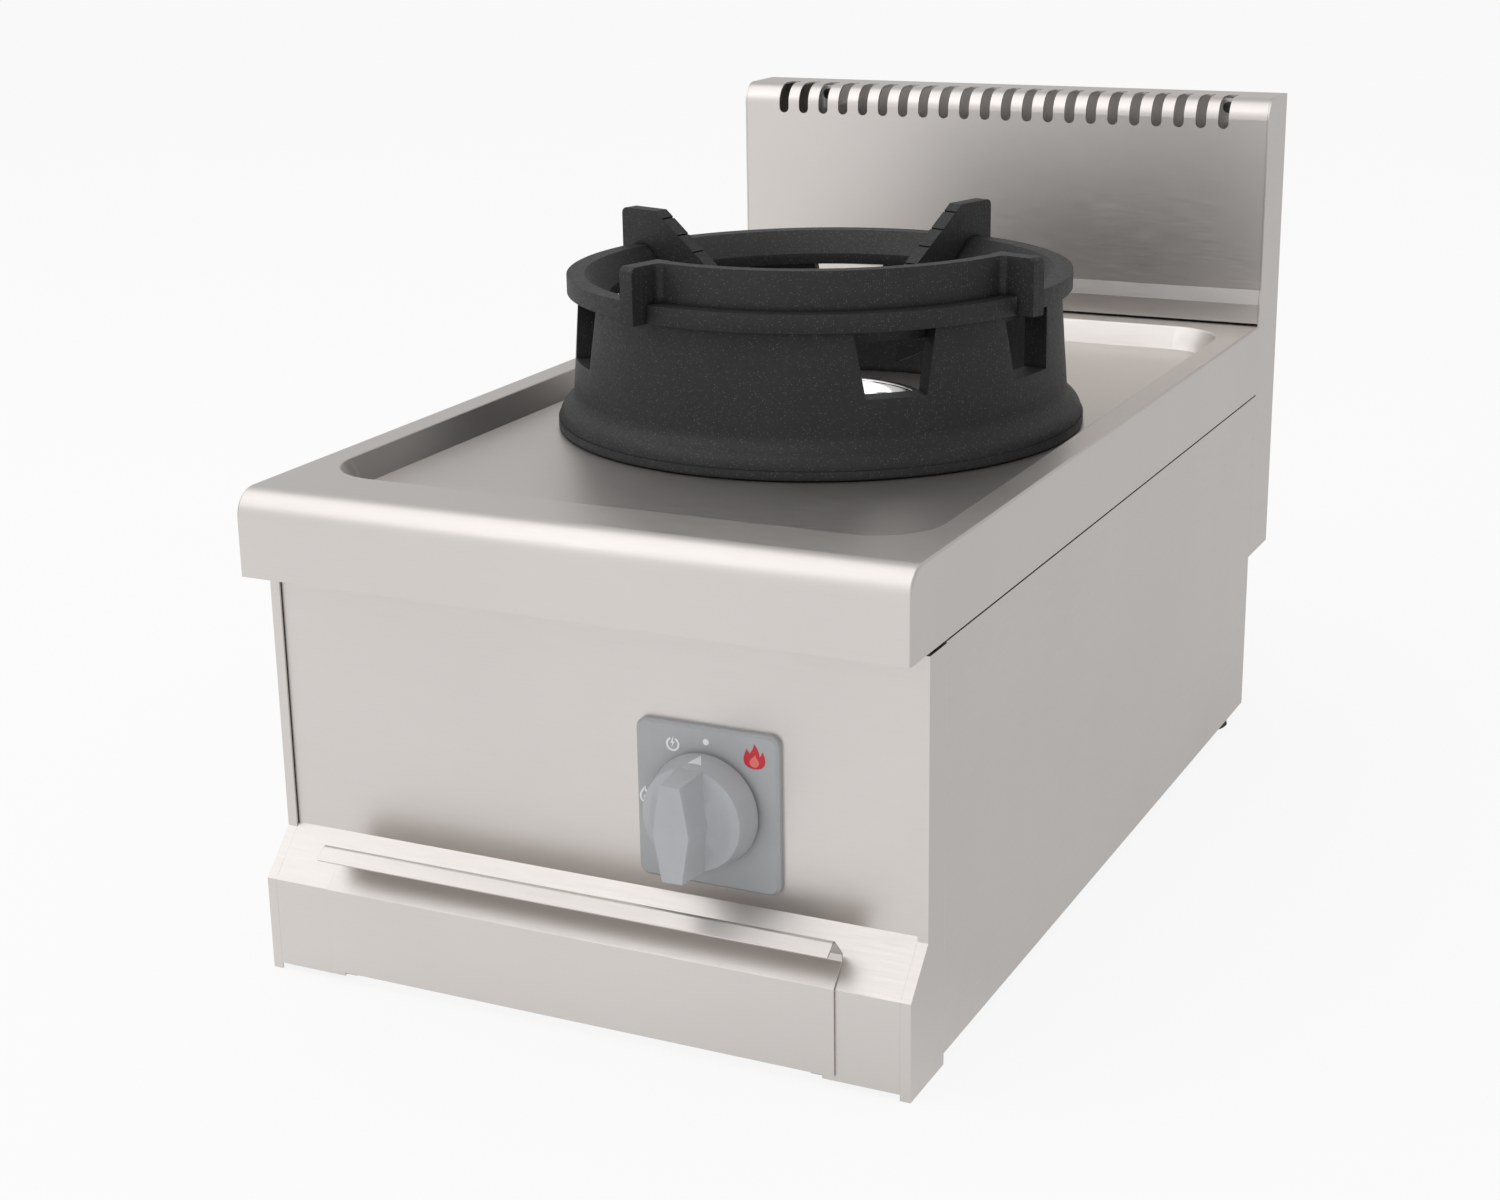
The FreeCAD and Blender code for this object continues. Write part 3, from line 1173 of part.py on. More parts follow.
def burner_pipe():
    valve_side = KNOB_X - VALVE_WIDTH / 2
    points = [
        (valve_side, PIPE_Y, KNOB_Z),
        (0, PIPE_Y, KNOB_Z),
        (0, PIPE_Y, GAS_AXIS_Z),
        (0, HOLDER_FACE_Y - HOLDER_BLOCK, GAS_AXIS_Z),
    ]
    return bent_tube(points, BURNER_PIPE_RADIUS, BURNER_PIPE_BEND)


def gas_inlet():
    """Threaded nipple through the rear panel, with a lock nut each side of the sheet."""
    start = BODY_DEPTH - INLET_NUT
    length = 2 * INLET_NUT + SHEET + INLET_LENGTH
    nipple = rod(INLET_RADIUS, (SUPPLY_X, start, INLET_Z), Y_AXIS, length)
    inner_nut = rod(INLET_NUT_RADIUS, (SUPPLY_X, start, INLET_Z), Y_AXIS, INLET_NUT)
    outer_nut = rod(INLET_NUT_RADIUS, (SUPPLY_X, BODY_DEPTH + SHEET, INLET_Z), Y_AXIS, INLET_NUT)
    bore = rod(INLET_BORE, (SUPPLY_X, start, INLET_Z), Y_AXIS, length)
    return nipple.fuse([inner_nut, outer_nut]).cut(bore)


# ---- knob and plate ----

def knob_plate():
    x0 = KNOB_X - PLATE_WIDTH / 2
    z0 = KNOB_Z - PLATE_HEIGHT / 2
    plate = box(x0, x0 + PLATE_WIDTH, PLATE_FACE, FASCIA_FACE, z0, z0 + PLATE_HEIGHT)
    plate = plate.makeFillet(PLATE_CORNER, edges_along(plate, Y_AXIS))
    rim = [e for e in plate.Edges if e.BoundBox.YMax < PLATE_FACE + EDGE_TOLERANCE]
    plate = plate.makeChamfer(PLATE_BEVEL, rim)
    holes = [through_hole(STEM_RADIUS + STEM_HOLE_CLEARANCE, KNOB_X, PLATE_FACE, FASCIA_FACE, KNOB_Z)]
    for x in valve_screw_places():
        pocket_face = FASCIA_FACE - SCREW_HEAD - LOOSE_FIT
        holes.append(rod(SCREW_HEAD_RADIUS + LOOSE_FIT, (x, pocket_face, KNOB_Z), Y_AXIS, SCREW_HEAD + PAST))
    return plate.cut(holes)


def grip_wire(y, growth):
    half_length = GRIP_LENGTH / 2 + growth
    half_width = GRIP_WIDTH / 2 + growth
    half_end = GRIP_END_WIDTH / 2 + growth
    points = [
        (-half_end, half_length), (half_end, half_length), (half_width, 0), (half_end, -half_length),
        (-half_end, -half_length), (-half_width, 0),
    ]
    outline = [FreeCAD.Vector(KNOB_X + x, y, KNOB_Z + z) for x, z in points]
    return Part.makePolygon(outline + [outline[0]])


def finger_scoop(side):
    """Shallow hollow along one side of the grip, in the knob's face."""
    axis_y = KNOB_BACK - KNOB_SKIRT - SCOOP_RISE - SCOOP_RADIUS
    start = (KNOB_X + side * SCOOP_OFFSET, axis_y, KNOB_Z - KNOB_BASE_RADIUS)
    return rod(SCOOP_RADIUS, start, Z_AXIS, 2 * KNOB_BASE_RADIUS)


def knob():
    under = KNOB_SKIRT - KNOB_WALL
    crown = KNOB_SKIRT + KNOB_CROWN
    bore_end = KNOB_BACK - STEM_FRONT
    points = [
        (STEM_RADIUS, 0), (KNOB_HUB_RADIUS, 0), (KNOB_HUB_RADIUS, under),
        (KNOB_FACE_RADIUS - KNOB_WALL, under), (KNOB_BASE_RADIUS - KNOB_WALL, 0),
        (KNOB_BASE_RADIUS, 0), (KNOB_FACE_RADIUS, KNOB_SKIRT), (KNOB_CROWN_RADIUS, crown),
        (0, crown), (0, bore_end), (STEM_RADIUS, bore_end),
    ]
    front = FreeCAD.Vector(0, -1, 0)
    disc = turned(points, (KNOB_X, KNOB_BACK, KNOB_Z), front)
    disc = disc.cut([finger_scoop(side) for side in (-1, 1)])
    root = grip_wire(KNOB_BACK - KNOB_SKIRT + GRIP_ROOT_SINK, GRIP_ROOT_GROWTH)
    tip = grip_wire(KNOB_FRONT, 0)
    grip = Part.makeLoft([root, tip], True, True)
    return one_solid(disc.fuse(grip))


# ---- drip tray ----

def tray_runner_right():
    web = TRAY_OPENING_HALF + RUNNER_CLEARANCE
    ledge = web - RUNNER_LEDGE
    back = TOE_SETBACK + TRAY_LENGTH + RUNNER_OVERLENGTH
    front = TOE_SETBACK + SHEET
    ledge_end = web + SHEET
    top = RUNNER_BOTTOM + RUNNER_HEIGHT
    ledge_plate = box(ledge, ledge_end, front, back, RUNNER_BOTTOM, RUNNER_BOTTOM + SHEET)
    web_plate = box(web, ledge_end, front, back, RUNNER_BOTTOM, top)
    side_front = PILLAR_BACK + SIDE_SEAM + SHEET
    wall = HALF - SHEET
    shelf = box(web, wall, side_front, back, top - SHEET, top)
    hanger = box(wall - SHEET, wall, side_front, back, top - SHEET, top + SIDE_FLANGE)
    return one_solid(ledge_plate.fuse([web_plate, shelf, hanger]))


def drip_tray():
    front = TRAY_FACE_BACK
    outer = rounded_rectangle(TRAY_HALF, front, front + TRAY_LENGTH, TRAY_BOTTOM, TRAY_CORNER)
    block = Part.Face(outer).extrude(FreeCAD.Vector(0, 0, TRAY_HEIGHT))
    inner = rounded_rectangle(TRAY_HALF - TRAY_SHEET, front + TRAY_SHEET, front + TRAY_LENGTH - TRAY_SHEET,
                              TRAY_BOTTOM + TRAY_SHEET, TRAY_CORNER - TRAY_SHEET)
    hollow = Part.Face(inner).extrude(FreeCAD.Vector(0, 0, TRAY_HEIGHT))
    return block.cut(hollow)


def tray_front_line():
    """Outer face of the tray front, from its bottom edge up to the lip of the pull."""
    slope_end = (TOE_SETBACK + PULL_SLOPE_RISE * SLOPE_RUN, SLOPE_BOTTOM + PULL_SLOPE_RISE)
    fascia_line = [(TOE_SETBACK, TRAY_FRONT_BOTTOM), (TOE_SETBACK, SLOPE_BOTTOM), slope_end]
    lower = offset_line(fascia_line, TRAY_FRONT_GAP + SHEET)
    fold_y, fold_z = lower[-1]
    peak_y = fold_y - PULL_BACK_DEPTH
    peak_z = fold_z + PULL_RISER + PULL_BACK_RISE
    pull = [
        (fold_y, fold_z + PULL_RISER),
        (peak_y, peak_z),
        (peak_y - PULL_LIP_DEPTH, peak_z - PULL_LIP_DROP),
    ]
    return lower + pull


def tray_front():
    half = TRAY_OPENING_HALF + TRAY_FRONT_OVERLAP
    front = side_profile(bent_outline(tray_front_line(), -SHEET), -half, half)
    inner_ridge = highest_edges(front)[-2]
    front = front.makeFillet(PULL_BEND, [inner_ridge])
    outer_ridge = highest_edges(front)[-1]
    return front.makeFillet(PULL_BEND + SHEET, [outer_ridge])


def highest_edges(solid):
    """Edges that run from side to side, from the lowest to the highest."""
    return sorted(edges_along(solid, X_AXIS), key=lambda edge: edge.BoundBox.ZMax)


# ---- screws of the panels ----

def panel_screws():
    """Screws through the rear panel into the side panels, and through the riser's back into its cheeks."""
    forward = FreeCAD.Vector(0, -1, 0)
    body_x = HALF - SIDE_FLANGE / 2
    riser_x = HALF - SHEET - CHEEK_FLANGE / 2
    body_heights = (SIDE_BOTTOM + PANEL_SCREW_INSET, RISER_DROP - PANEL_SCREW_INSET / 2)
    riser_heights = (RISER_DROP + PANEL_SCREW_INSET, RISER_TOP - PANEL_SCREW_INSET)
    screws = []
    for side in (-1, 1):
        for z in body_heights:
            screws.append(screw((side * body_x, BODY_DEPTH + SHEET, z), forward, PANEL_SCREW_LENGTH))
        for z in riser_heights:
            screws.append(screw((side * riser_x, RISER_BACK - SHEET, z), forward, PANEL_SCREW_LENGTH))
    return group(screws)


def screw_holes(panel):
    """Clearance holes for the panel screws that pass through a rear sheet."""
    for item in panel_screws().Solids:
        panel = panel.cut(item)
    return panel


def save(name, shape):
    shape = shape.copy()
    shape.translate(FreeCAD.Vector(0, -MID_DEPTH, 0))
    shape.exportStep("parts/" + name + ".step")
    solids = shape.Solids
    print("%-22s %2d solid(s) %9.0f mm3 valid %s" % (name, len(solids), shape.Volume, shape.isValid()))


def main():
    os.makedirs("parts", exist_ok=True)
    side = screw_holes(foot_holes(side_panel_right()))
    save("worktop", worktop())
    save("front_rail", front_rail())
    save("rear_rail", rear_rail())
    save("fascia", fascia())
    save("pillar_right", pillar_right())
    save("pillar_left", mirrored(pillar_right()))
    save("side_panel_right", side)
    save("side_panel_left", mirrored(side))
    save("rear_panel", screw_holes(rear_panel()))
    save("rear_feet", rear_feet())
    save("riser_shell", riser_shell())
    cheek = screw_holes(riser_cheek_right())
    save("riser_cheek_right", cheek)
    save("riser_cheek_left", mirrored(cheek))
    save("riser_back", screw_holes(riser_back()))
    save("duct_floor", duct_floor())
    save("riser_clips", riser_clips())
    save("riser_screws", riser_screws())
    save("panel_screws", panel_screws())
    save("wok_ring", wok_ring())
    save("burner_bowl", burner_bowl())
    save("burner_body", burner_body())
    save("burner_cap", burner_cap())
    save("mixing_tube", mixing_tube())
    save("air_shutter", air_shutter())
    save("injector_holder", injector_holder())
    save("injector", injector())
    save("burner_bracket", burner_bracket())
    save("burner_bolts", burner_bolts())
    save("pilot_bracket", pilot_bracket())
    save("pilot_burner", pilot_burner())
    save("pilot_tube", pilot_tube())
    save("thermocouple", thermocouple())
    save("thermocouple_lead", thermocouple_lead())
    save("spark_electrode", spark_electrode())
    save("ignition_lead", ignition_lead())
    save("piezo_igniter", piezo_igniter())
    save("gas_valve", gas_valve())
    save("valve_plug", valve_plug())
    save("valve_stem", valve_stem())
    save("valve_magnet", valve_magnet())
    save("valve_screws", valve_screws())
    save("supply_pipe", supply_pipe())
    save("burner_pipe", burner_pipe())
    save("gas_inlet", gas_inlet())
    save("knob_plate", knob_plate())
    save("knob", knob())
    save("tray_runner_right", tray_runner_right())
    save("tray_runner_left", mirrored(tray_runner_right()))
    save("drip_tray", drip_tray())
    save("tray_front", tray_front())


if __name__ == "__main__":
    main()
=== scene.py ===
import math

import bmesh
import bpy
from mathutils import Matrix, Vector


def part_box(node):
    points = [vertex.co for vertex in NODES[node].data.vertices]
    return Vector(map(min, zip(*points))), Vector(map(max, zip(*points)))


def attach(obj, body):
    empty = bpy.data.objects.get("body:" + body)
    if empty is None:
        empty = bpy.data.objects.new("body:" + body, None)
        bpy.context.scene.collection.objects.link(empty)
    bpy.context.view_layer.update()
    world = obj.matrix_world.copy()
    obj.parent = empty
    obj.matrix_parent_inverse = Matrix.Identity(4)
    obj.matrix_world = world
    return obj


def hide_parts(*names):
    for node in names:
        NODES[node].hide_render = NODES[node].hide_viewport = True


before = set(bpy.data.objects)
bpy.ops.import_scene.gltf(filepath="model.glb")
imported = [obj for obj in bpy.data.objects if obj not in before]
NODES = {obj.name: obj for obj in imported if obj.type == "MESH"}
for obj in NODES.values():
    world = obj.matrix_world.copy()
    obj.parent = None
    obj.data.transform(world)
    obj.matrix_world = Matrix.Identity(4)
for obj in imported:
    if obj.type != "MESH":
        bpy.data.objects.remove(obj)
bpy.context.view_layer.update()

# Countertop gas wok range, in metres and in the frame of the solids: X right, Y back, Z up, with the origin
# at the middle of the bottom. A size that is written in millimetres is multiplied by MM.

MM = 0.001

KNOB_LOW, KNOB_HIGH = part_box("knob")
KNOB_X = (KNOB_LOW.x + KNOB_HIGH.x) / 2
KNOB_Z = (KNOB_LOW.z + KNOB_HIGH.z) / 2
PLATE_FACE_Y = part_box("knob_plate")[0].y


def add_object(name, data):
    """A new object at the origin, in the scene."""
    made = bpy.data.objects.new(name, data)
    bpy.context.scene.collection.objects.link(made)
    return made


# ---- camera ----

CAMERA_PLACE = (0.633418, -1.411423, 0.635811)
CAMERA_AZIMUTH = 0.455035         # radians, to the left of straight back
CAMERA_ELEVATION = -0.304215
CAMERA_ROLL = -0.017073
SENSOR_WIDTH = 36.0               # millimetres, as the focal length is
FOCAL_LENGTH = 59.956
LENS_SHIFT_X = 0.004564
LENS_SHIFT_Y = 0.00095
NEAREST, FARTHEST = 0.05, 100.0   # what the camera sees


def make_camera():
    """Camera at the photograph's place: three-quarter view from the front right, slightly from above."""
    ahead = Vector((
        -math.sin(CAMERA_AZIMUTH) * math.cos(CAMERA_ELEVATION),
        math.cos(CAMERA_AZIMUTH) * math.cos(CAMERA_ELEVATION),
        math.sin(CAMERA_ELEVATION),
    ))
    right = ahead.cross(Vector((0, 0, 1))).normalized()
    up = right.cross(ahead)
    across = math.cos(CAMERA_ROLL) * right + math.sin(CAMERA_ROLL) * up
    upward = math.cos(CAMERA_ROLL) * up - math.sin(CAMERA_ROLL) * right
    data = bpy.data.cameras.new("camera")
    data.sensor_width = SENSOR_WIDTH
    data.lens = FOCAL_LENGTH
    data.shift_x = LENS_SHIFT_X
    data.shift_y = LENS_SHIFT_Y
    data.clip_start = NEAREST
    data.clip_end = FARTHEST
    camera = add_object("camera", data)
    turn = Matrix((across, upward, -ahead)).transposed()
    camera.matrix_world = Matrix.Translation(CAMERA_PLACE) @ turn.to_4x4()
    bpy.context.scene.camera = camera


# ---- node helpers ----

WHITE = (1.0, 1.0, 1.0, 1.0)


def feed(tree, value, socket):
    """Gives a socket its value, which is a number, a colour or the output of another node."""
    if isinstance(value, (int, float, tuple)):
        socket.default_value = value
    else:
        tree.links.new(value, socket)


def maths(tree, operation, *values):
    """Result of a math node."""
    node = tree.nodes.new("ShaderNodeMath")
    node.operation = operation
    for value, socket in zip(values, node.inputs):
        feed(tree, value, socket)
    return node.outputs["Value"]


def spread(tree, source, to, within):
    """The source, with the range between the two values of within mapped to the range of to."""
    node = tree.nodes.new("ShaderNodeMapRange")
    node.inputs["From Min"].default_value, node.inputs["From Max"].default_value = within
    node.inputs["To Min"].default_value, node.inputs["To Max"].default_value = to
    tree.links.new(source, node.inputs["Value"])
    return node.outputs["Result"]


def shaded(colour, share):
    """The colour at a share of its brightness."""
    return tuple(value * share for value in colour)


class Shader:
    """A material's node tree with short calls for the nodes used here."""

    def __init__(self, name):
        self.material = bpy.data.materials.new(name)
        self.material.use_nodes = True
        self.tree = self.material.node_tree
        self.surface = self.tree.nodes["Principled BSDF"]
        self.place = self.tree.nodes.new("ShaderNodeTexCoord").outputs["Object"]

    def node(self, kind, **settings):
        made = self.tree.nodes.new(kind)
        for key, value in settings.items():
            setattr(made, key, value)
        return made

    def link(self, source, target):
        self.tree.links.new(source, target)

    def stretched(self, scale):
        mapping = self.node("ShaderNodeMapping")
        mapping.inputs["Scale"].default_value = scale
        self.link(self.place, mapping.inputs["Vector"])
        return mapping.outputs["Vector"]

    def noise(self, scale, detail=2.0, roughness=0.5, stretch=None):
        noise = self.node("ShaderNodeTexNoise")
        noise.inputs["Scale"].default_value = scale
        noise.inputs["Detail"].default_value = detail
        noise.inputs["Roughness"].default_value = roughness
        self.link(self.stretched(stretch) if stretch else self.place, noise.inputs["Vector"])
        return noise.outputs["Fac"]

    def cells(self, scale):
        cells = self.node("ShaderNodeTexVoronoi")
        cells.inputs["Scale"].default_value = scale
        self.link(self.place, cells.inputs["Vector"])
        return cells

    def ramp(self, source, *stops):
        ramp = self.node("ShaderNodeValToRGB")
        for element, (position, colour) in zip(ramp.color_ramp.elements, stops):
            element.position = position
            element.color = (*colour, 1.0)
        self.link(source, ramp.inputs["Fac"])
        return ramp.outputs["Color"]

    def spread(self, source, to, within=(0.3, 0.7)):
        return spread(self.tree, source, to, within)

    def mixed(self, factor, first, second):
        """The first colour with the second over it, by the factor."""
        mix = self.node("ShaderNodeMix", data_type="RGBA")
        self.link(factor, mix.inputs["Factor"])
        for value, socket in ((first, mix.inputs["A"]), (second, mix.inputs["B"])):
            feed(self.tree, (*value, 1.0) if isinstance(value, tuple) else value, socket)
        return mix.outputs["Result"]

    def bump(self, source, strength, distance, over=None):
        bump = self.node("ShaderNodeBump")
        bump.inputs["Strength"].default_value = strength
        bump.inputs["Distance"].default_value = distance
        self.link(source, bump.inputs["Height"])
        if over:
            self.link(over, bump.inputs["Normal"])
        self.link(bump.outputs["Normal"], self.surface.inputs["Normal"])
        return bump.outputs["Normal"]

    def glow(self, strength):
        """White light of its own, the same seen from anywhere."""
        glow = self.node("ShaderNodeEmission")
        glow.inputs["Color"].default_value = WHITE
        feed(self.tree, strength, glow.inputs["Strength"])
        return glow.outputs["Emission"]

    def layered(self, share, below, above):
        """A surface with another over it, by the share."""
        mix = self.node("ShaderNodeMixShader")
        for source, socket in zip((share, below, above), mix.inputs):
            self.link(source, socket)
        return mix.outputs["Shader"]

    def set(self, **values):
        for key, value in values.items():
            feed(self.tree, value, self.surface.inputs[key.replace("_", " ")])


# ---- materials ----

STEEL = (0.67, 0.637, 0.612)
POLISHED_STEEL = (0.86, 0.85, 0.84)
GRAIN_ACROSS = (40.0, 1600.0, 1600.0)     # brushed from side to side
GRAIN_FRONT_TO_BACK = (1600.0, 40.0, 1600.0)
GRAIN_SPUN = (60.0, 60.0, 300.0)
TURNING_MARKS = (900.0, 3000.0, 900.0)

DARK_ENAMEL = (0.0175, 0.0179, 0.0191)
ENAMEL_SPECK = (0.1, 0.104, 0.109)
BARE_IRON = (0.05, 0.047, 0.045)
IRON_SPECK = (0.09, 0.08, 0.07)
SHADE_REACH = 5.0 * MM                     # how far from an inner corner the painted shade thins out


def brushed_steel(name, tint, grain, roughness=(0.36, 0.44), relief=0.05):
    """Stainless sheet: fine straight grain, faint clouding, softly varying gloss."""
    shader = Shader(name)
    cloud = shader.noise(6.0, detail=3.0, roughness=0.55)
    lines = shader.noise(1.0, detail=2.0, roughness=0.6, stretch=grain)
    shader.set(
        Metallic=1.0,
        Base_Color=shader.ramp(cloud, (0.3, shaded(tint, 0.965)), (0.7, tint)),
        Roughness=shader.spread(lines, to=roughness),
    )
    shader.bump(lines, strength=relief, distance=0.04 * MM)
    return shader.material


def zinc_steel():
    """Galvanised sheet: pale crystals a few millimetres across, uneven gloss."""
    shader = Shader("zinc_steel")
    spangle = shader.cells(160.0)
    shade = shader.spread(spangle.outputs["Color"], to=(0.0, 1.0), within=(0.1, 0.9))
    shader.set(
        Metallic=1.0,
        Base_Color=shader.ramp(shade, (0.0, (0.4, 0.41, 0.42)), (1.0, (0.56, 0.575, 0.585))),
        Roughness=shader.spread(shade, to=(0.38, 0.55), within=(0.0, 1.0)),
    )
    shader.bump(shader.noise(900.0), strength=0.08, distance=0.1 * MM)
    return shader.material


def cast_iron(name, base, speck, rarity, roughness):
    """Iron casting: fine pitted skin, small pale specks in the coat, and painted shade that makes its inner
    corners darker and less glossy.

    The nearer the rarity is to 1, the fewer specks there are.
    """
    shader = Shader(name)
    skin = shader.noise(420.0, detail=4.0, roughness=0.6)
    swell = shader.noise(38.0, detail=3.0, roughness=0.5)
    cells = shader.cells(950.0)
    dot = shader.spread(cells.outputs["Distance"], to=(1.0, 0.0), within=(0.15, 0.42))
    chosen = shader.node("ShaderNodeSeparateColor")
    shader.link(cells.outputs["Color"], chosen.inputs["Color"])
    rare = shader.spread(chosen.outputs["Red"], to=(0.0, 1.0), within=(rarity, 1.0))
    speckle = maths(shader.tree, "MULTIPLY", dot, rare)
    ground = shader.ramp(swell, (0.3, shaded(base, 0.8)), (0.72, base))
    coat = shader.mixed(speckle, ground, speck)
    # Painted shade: where the occlusion node finds other surfaces close by, in inner corners and under
    # ledges, the base colour goes towards 30 % of the ground colour and the specular level drops.
    hollow = shader.node("ShaderNodeAmbientOcclusion", samples=8)
    hollow.inputs["Distance"].default_value = SHADE_REACH
    unshaded = shader.spread(hollow.outputs["AO"], to=(0.0, 1.0), within=(0.35, 0.85))
    shader.set(
        Base_Color=shader.mixed(unshaded, shaded(base, 0.3), coat),
        Roughness=shader.spread(skin, to=(roughness - 0.06, roughness + 0.08)),
        Specular_IOR_Level=shader.spread(unshaded, to=(0.08, 0.38), within=(0.0, 1.0)),
    )
    coarse = shader.bump(swell, strength=0.25, distance=1.2 * MM)
    shader.bump(skin, strength=0.35, distance=0.22 * MM, over=coarse)
    return shader.material


def moulded_plastic(name, colour, roughness):
    """Moulded plastic: fine spark-eroded texture, faint flow clouding."""
    shader = Shader(name)
    cloud = shader.noise(55.0, detail=3.0, roughness=0.5)
    texture = shader.noise(1400.0, detail=3.0, roughness=0.6)
    shader.set(
        Base_Color=shader.ramp(cloud, (0.3, shaded(colour, 0.93)), (0.7, colour)),
        Roughness=shader.spread(texture, to=(roughness - 0.05, roughness + 0.07)),
        Specular_IOR_Level=0.45,
    )
    shader.bump(texture, strength=0.12, distance=0.06 * MM)
    return shader.material


def turned_metal(name, bright, dull, roughness):
    """Machined or drawn metal with fine turning marks and handled, duller patches.

    The roughness is that of the bright metal and that of the patches.
    """
    shader = Shader(name)
    patches = shader.noise(60.0, detail=4.0, roughness=0.6)
    marks = shader.noise(1.0, detail=2.0, roughness=0.5, stretch=TURNING_MARKS)
    shader.set(
        Metallic=1.0,
        Base_Color=shader.ramp(patches, (0.35, dull), (0.65, bright)),
        Roughness=shader.spread(patches, to=roughness[::-1]),
    )
    shader.bump(marks, strength=0.1, distance=0.05 * MM)
    return shader.material


def glazed_ceramic():
    """White insulator with a thin glaze and faint mottling."""
    shader = Shader("ceramic")
    mottling = shader.noise(300.0, detail=3.0)
    shader.set(
        Base_Color=shader.ramp(mottling, (0.3, (0.66, 0.64, 0.6)), (0.7, (0.78, 0.76, 0.72))),
        Roughness=shader.spread(shader.noise(120.0), to=(0.18, 0.3)),
        Coat_Weight=0.4,
    )
    shader.bump(shader.noise(700.0), strength=0.1, distance=0.1 * MM)
    return shader.material


def rubber():
    """Moulded rubber foot: matt, with paler dusty patches."""
    shader = Shader("rubber")
    dust = shader.noise(90.0, detail=4.0)
    shader.set(
        Base_Color=shader.ramp(dust, (0.3, (0.018, 0.018, 0.018)), (0.75, (0.04, 0.039, 0.038))),
        Roughness=shader.spread(shader.noise(300.0, detail=3.0), to=(0.7, 0.88)),
    )
    shader.bump(shader.noise(1500.0), strength=0.25, distance=0.1 * MM)
    return shader.material


def lead_sleeve():
    """Red-brown silicone sleeve of the ignition lead, dulled by heat in patches."""
    shader = Shader("lead_sleeve")
    heat = shader.noise(140.0, detail=3.0)
    shader.set(
        Base_Color=shader.ramp(heat, (0.3, (0.2, 0.05, 0.035)), (0.7, (0.33, 0.075, 0.05))),
        Roughness=shader.spread(shader.noise(500.0), to=(0.5, 0.68)),
    )
    shader.bump(shader.noise(1600.0), strength=0.15, distance=0.06 * MM)
    return shader.material


def printed_ink(name, colour):
    """Thin screen print with slightly uneven cover."""
    shader = Shader(name)
    cover = shader.noise(900.0, detail=3.0, roughness=0.6)
    shader.set(
        Base_Color=shader.ramp(cover, (0.3, shaded(colour, 0.9)), (0.6, colour)),
        Roughness=shader.spread(cover, to=(0.42, 0.55)),
    )
    shader.bump(cover, strength=0.1, distance=0.04 * MM)
    return shader.material


def slot_name(material):
    """A material's name without the number that Blender adds to a name already in use."""
    return material.name.split(".")[0]


def make_materials():
    """The materials by the names of the record's slots, and those of the side sheets and the bowl."""
    made = [
        brushed_steel("stainless", STEEL, GRAIN_ACROSS),
        brushed_steel("stainless_side", STEEL, GRAIN_FRONT_TO_BACK),
        brushed_steel("stainless_bowl", POLISHED_STEEL, GRAIN_SPUN, roughness=(0.12, 0.18), relief=0.0),
        zinc_steel(),
        cast_iron("cast_iron", DARK_ENAMEL, ENAMEL_SPECK, rarity=0.6, roughness=0.55),
        cast_iron("burner_iron", BARE_IRON, IRON_SPECK, rarity=0.94, roughness=0.7),
        turned_metal("brass", (0.68, 0.5, 0.24), (0.5, 0.36, 0.17), roughness=(0.28, 0.45)),
        turned_metal("valve_alloy", (0.5, 0.5, 0.5), (0.4, 0.4, 0.41), roughness=(0.45, 0.6)),
        turned_metal("copper_tube", (0.72, 0.4, 0.27), (0.5, 0.25, 0.16), roughness=(0.28, 0.5)),
        turned_metal("gas_pipe", (0.5, 0.49, 0.46), (0.38, 0.37, 0.35), roughness=(0.4, 0.55)),
        turned_metal("screw_steel", (0.6, 0.59, 0.57), (0.46, 0.45, 0.44), roughness=(0.25, 0.4)),
        turned_metal("dark_screw", (0.08, 0.08, 0.08), (0.04, 0.04, 0.04), roughness=(0.35, 0.5)),
        rubber(),
        moulded_plastic("plate_grey", (0.44, 0.453, 0.468), roughness=0.5),
        moulded_plastic("knob_grey", (0.45, 0.463, 0.482), roughness=0.46),
        moulded_plastic("black_plastic", (0.03, 0.03, 0.031), roughness=0.5),
        glazed_ceramic(),
        lead_sleeve(),
    ]
    return {slot_name(material): material for material in made}


SIDE_SHEETS = ("side_panel_left", "side_panel_right", "riser_cheek_left", "riser_cheek_right")


def dress_nodes(materials):
    """Each solid takes the material of its own slot; the side sheets have their grain front to back."""
    for title, node in NODES.items():
        for index, slot in enumerate(node.material_slots):
            name = slot_name(node.data.materials[index])
            if name == "stainless" and title in SIDE_SHEETS:
                name = "stainless_side"
            slot.link = "OBJECT"
            slot.material = materials[name]


# ---- edges of sheets and castings ----

SOFT_EDGES = {
    "tray_front": 0.2 * MM,
    **dict.fromkeys(SIDE_SHEETS, 0.3 * MM),
    "knob_plate": 0.3 * MM,
    "wok_ring": 0.4 * MM,
    "worktop": 0.6 * MM,
    "knob": 0.8 * MM,
}
SHARP_EDGE = math.radians(35.0)
WELD_GAP = 0.01 * MM


def soften_edges():
    """Rounds the sharp edges a little, so that they catch the light."""
    for name, width in SOFT_EDGES.items():
        weld = NODES[name].modifiers.new("weld", "WELD")
        weld.merge_threshold = WELD_GAP
        bevel = NODES[name].modifiers.new("soft_edges", "BEVEL")
        bevel.width = width
        bevel.segments = 3
        bevel.limit_method = "ANGLE"
        bevel.angle_limit = SHARP_EDGE
        bevel.harden_normals = True
        bevel.use_clamp_overlap = True


# ---- mesh helpers ----

def piece(name, bm, material, smooth=None):
    """An object at the origin from a bmesh, with smooth shading under the given angle."""
    mesh = bpy.data.meshes.new(name)
    bmesh.ops.recalc_face_normals(bm, faces=bm.faces)
    bm.to_mesh(mesh)
    bm.free()
    mesh.materials.append(material)
    if smooth:
        mesh.shade_smooth()
        mesh.set_sharp_from_angle(angle=math.radians(smooth))
    return add_object(name, mesh)


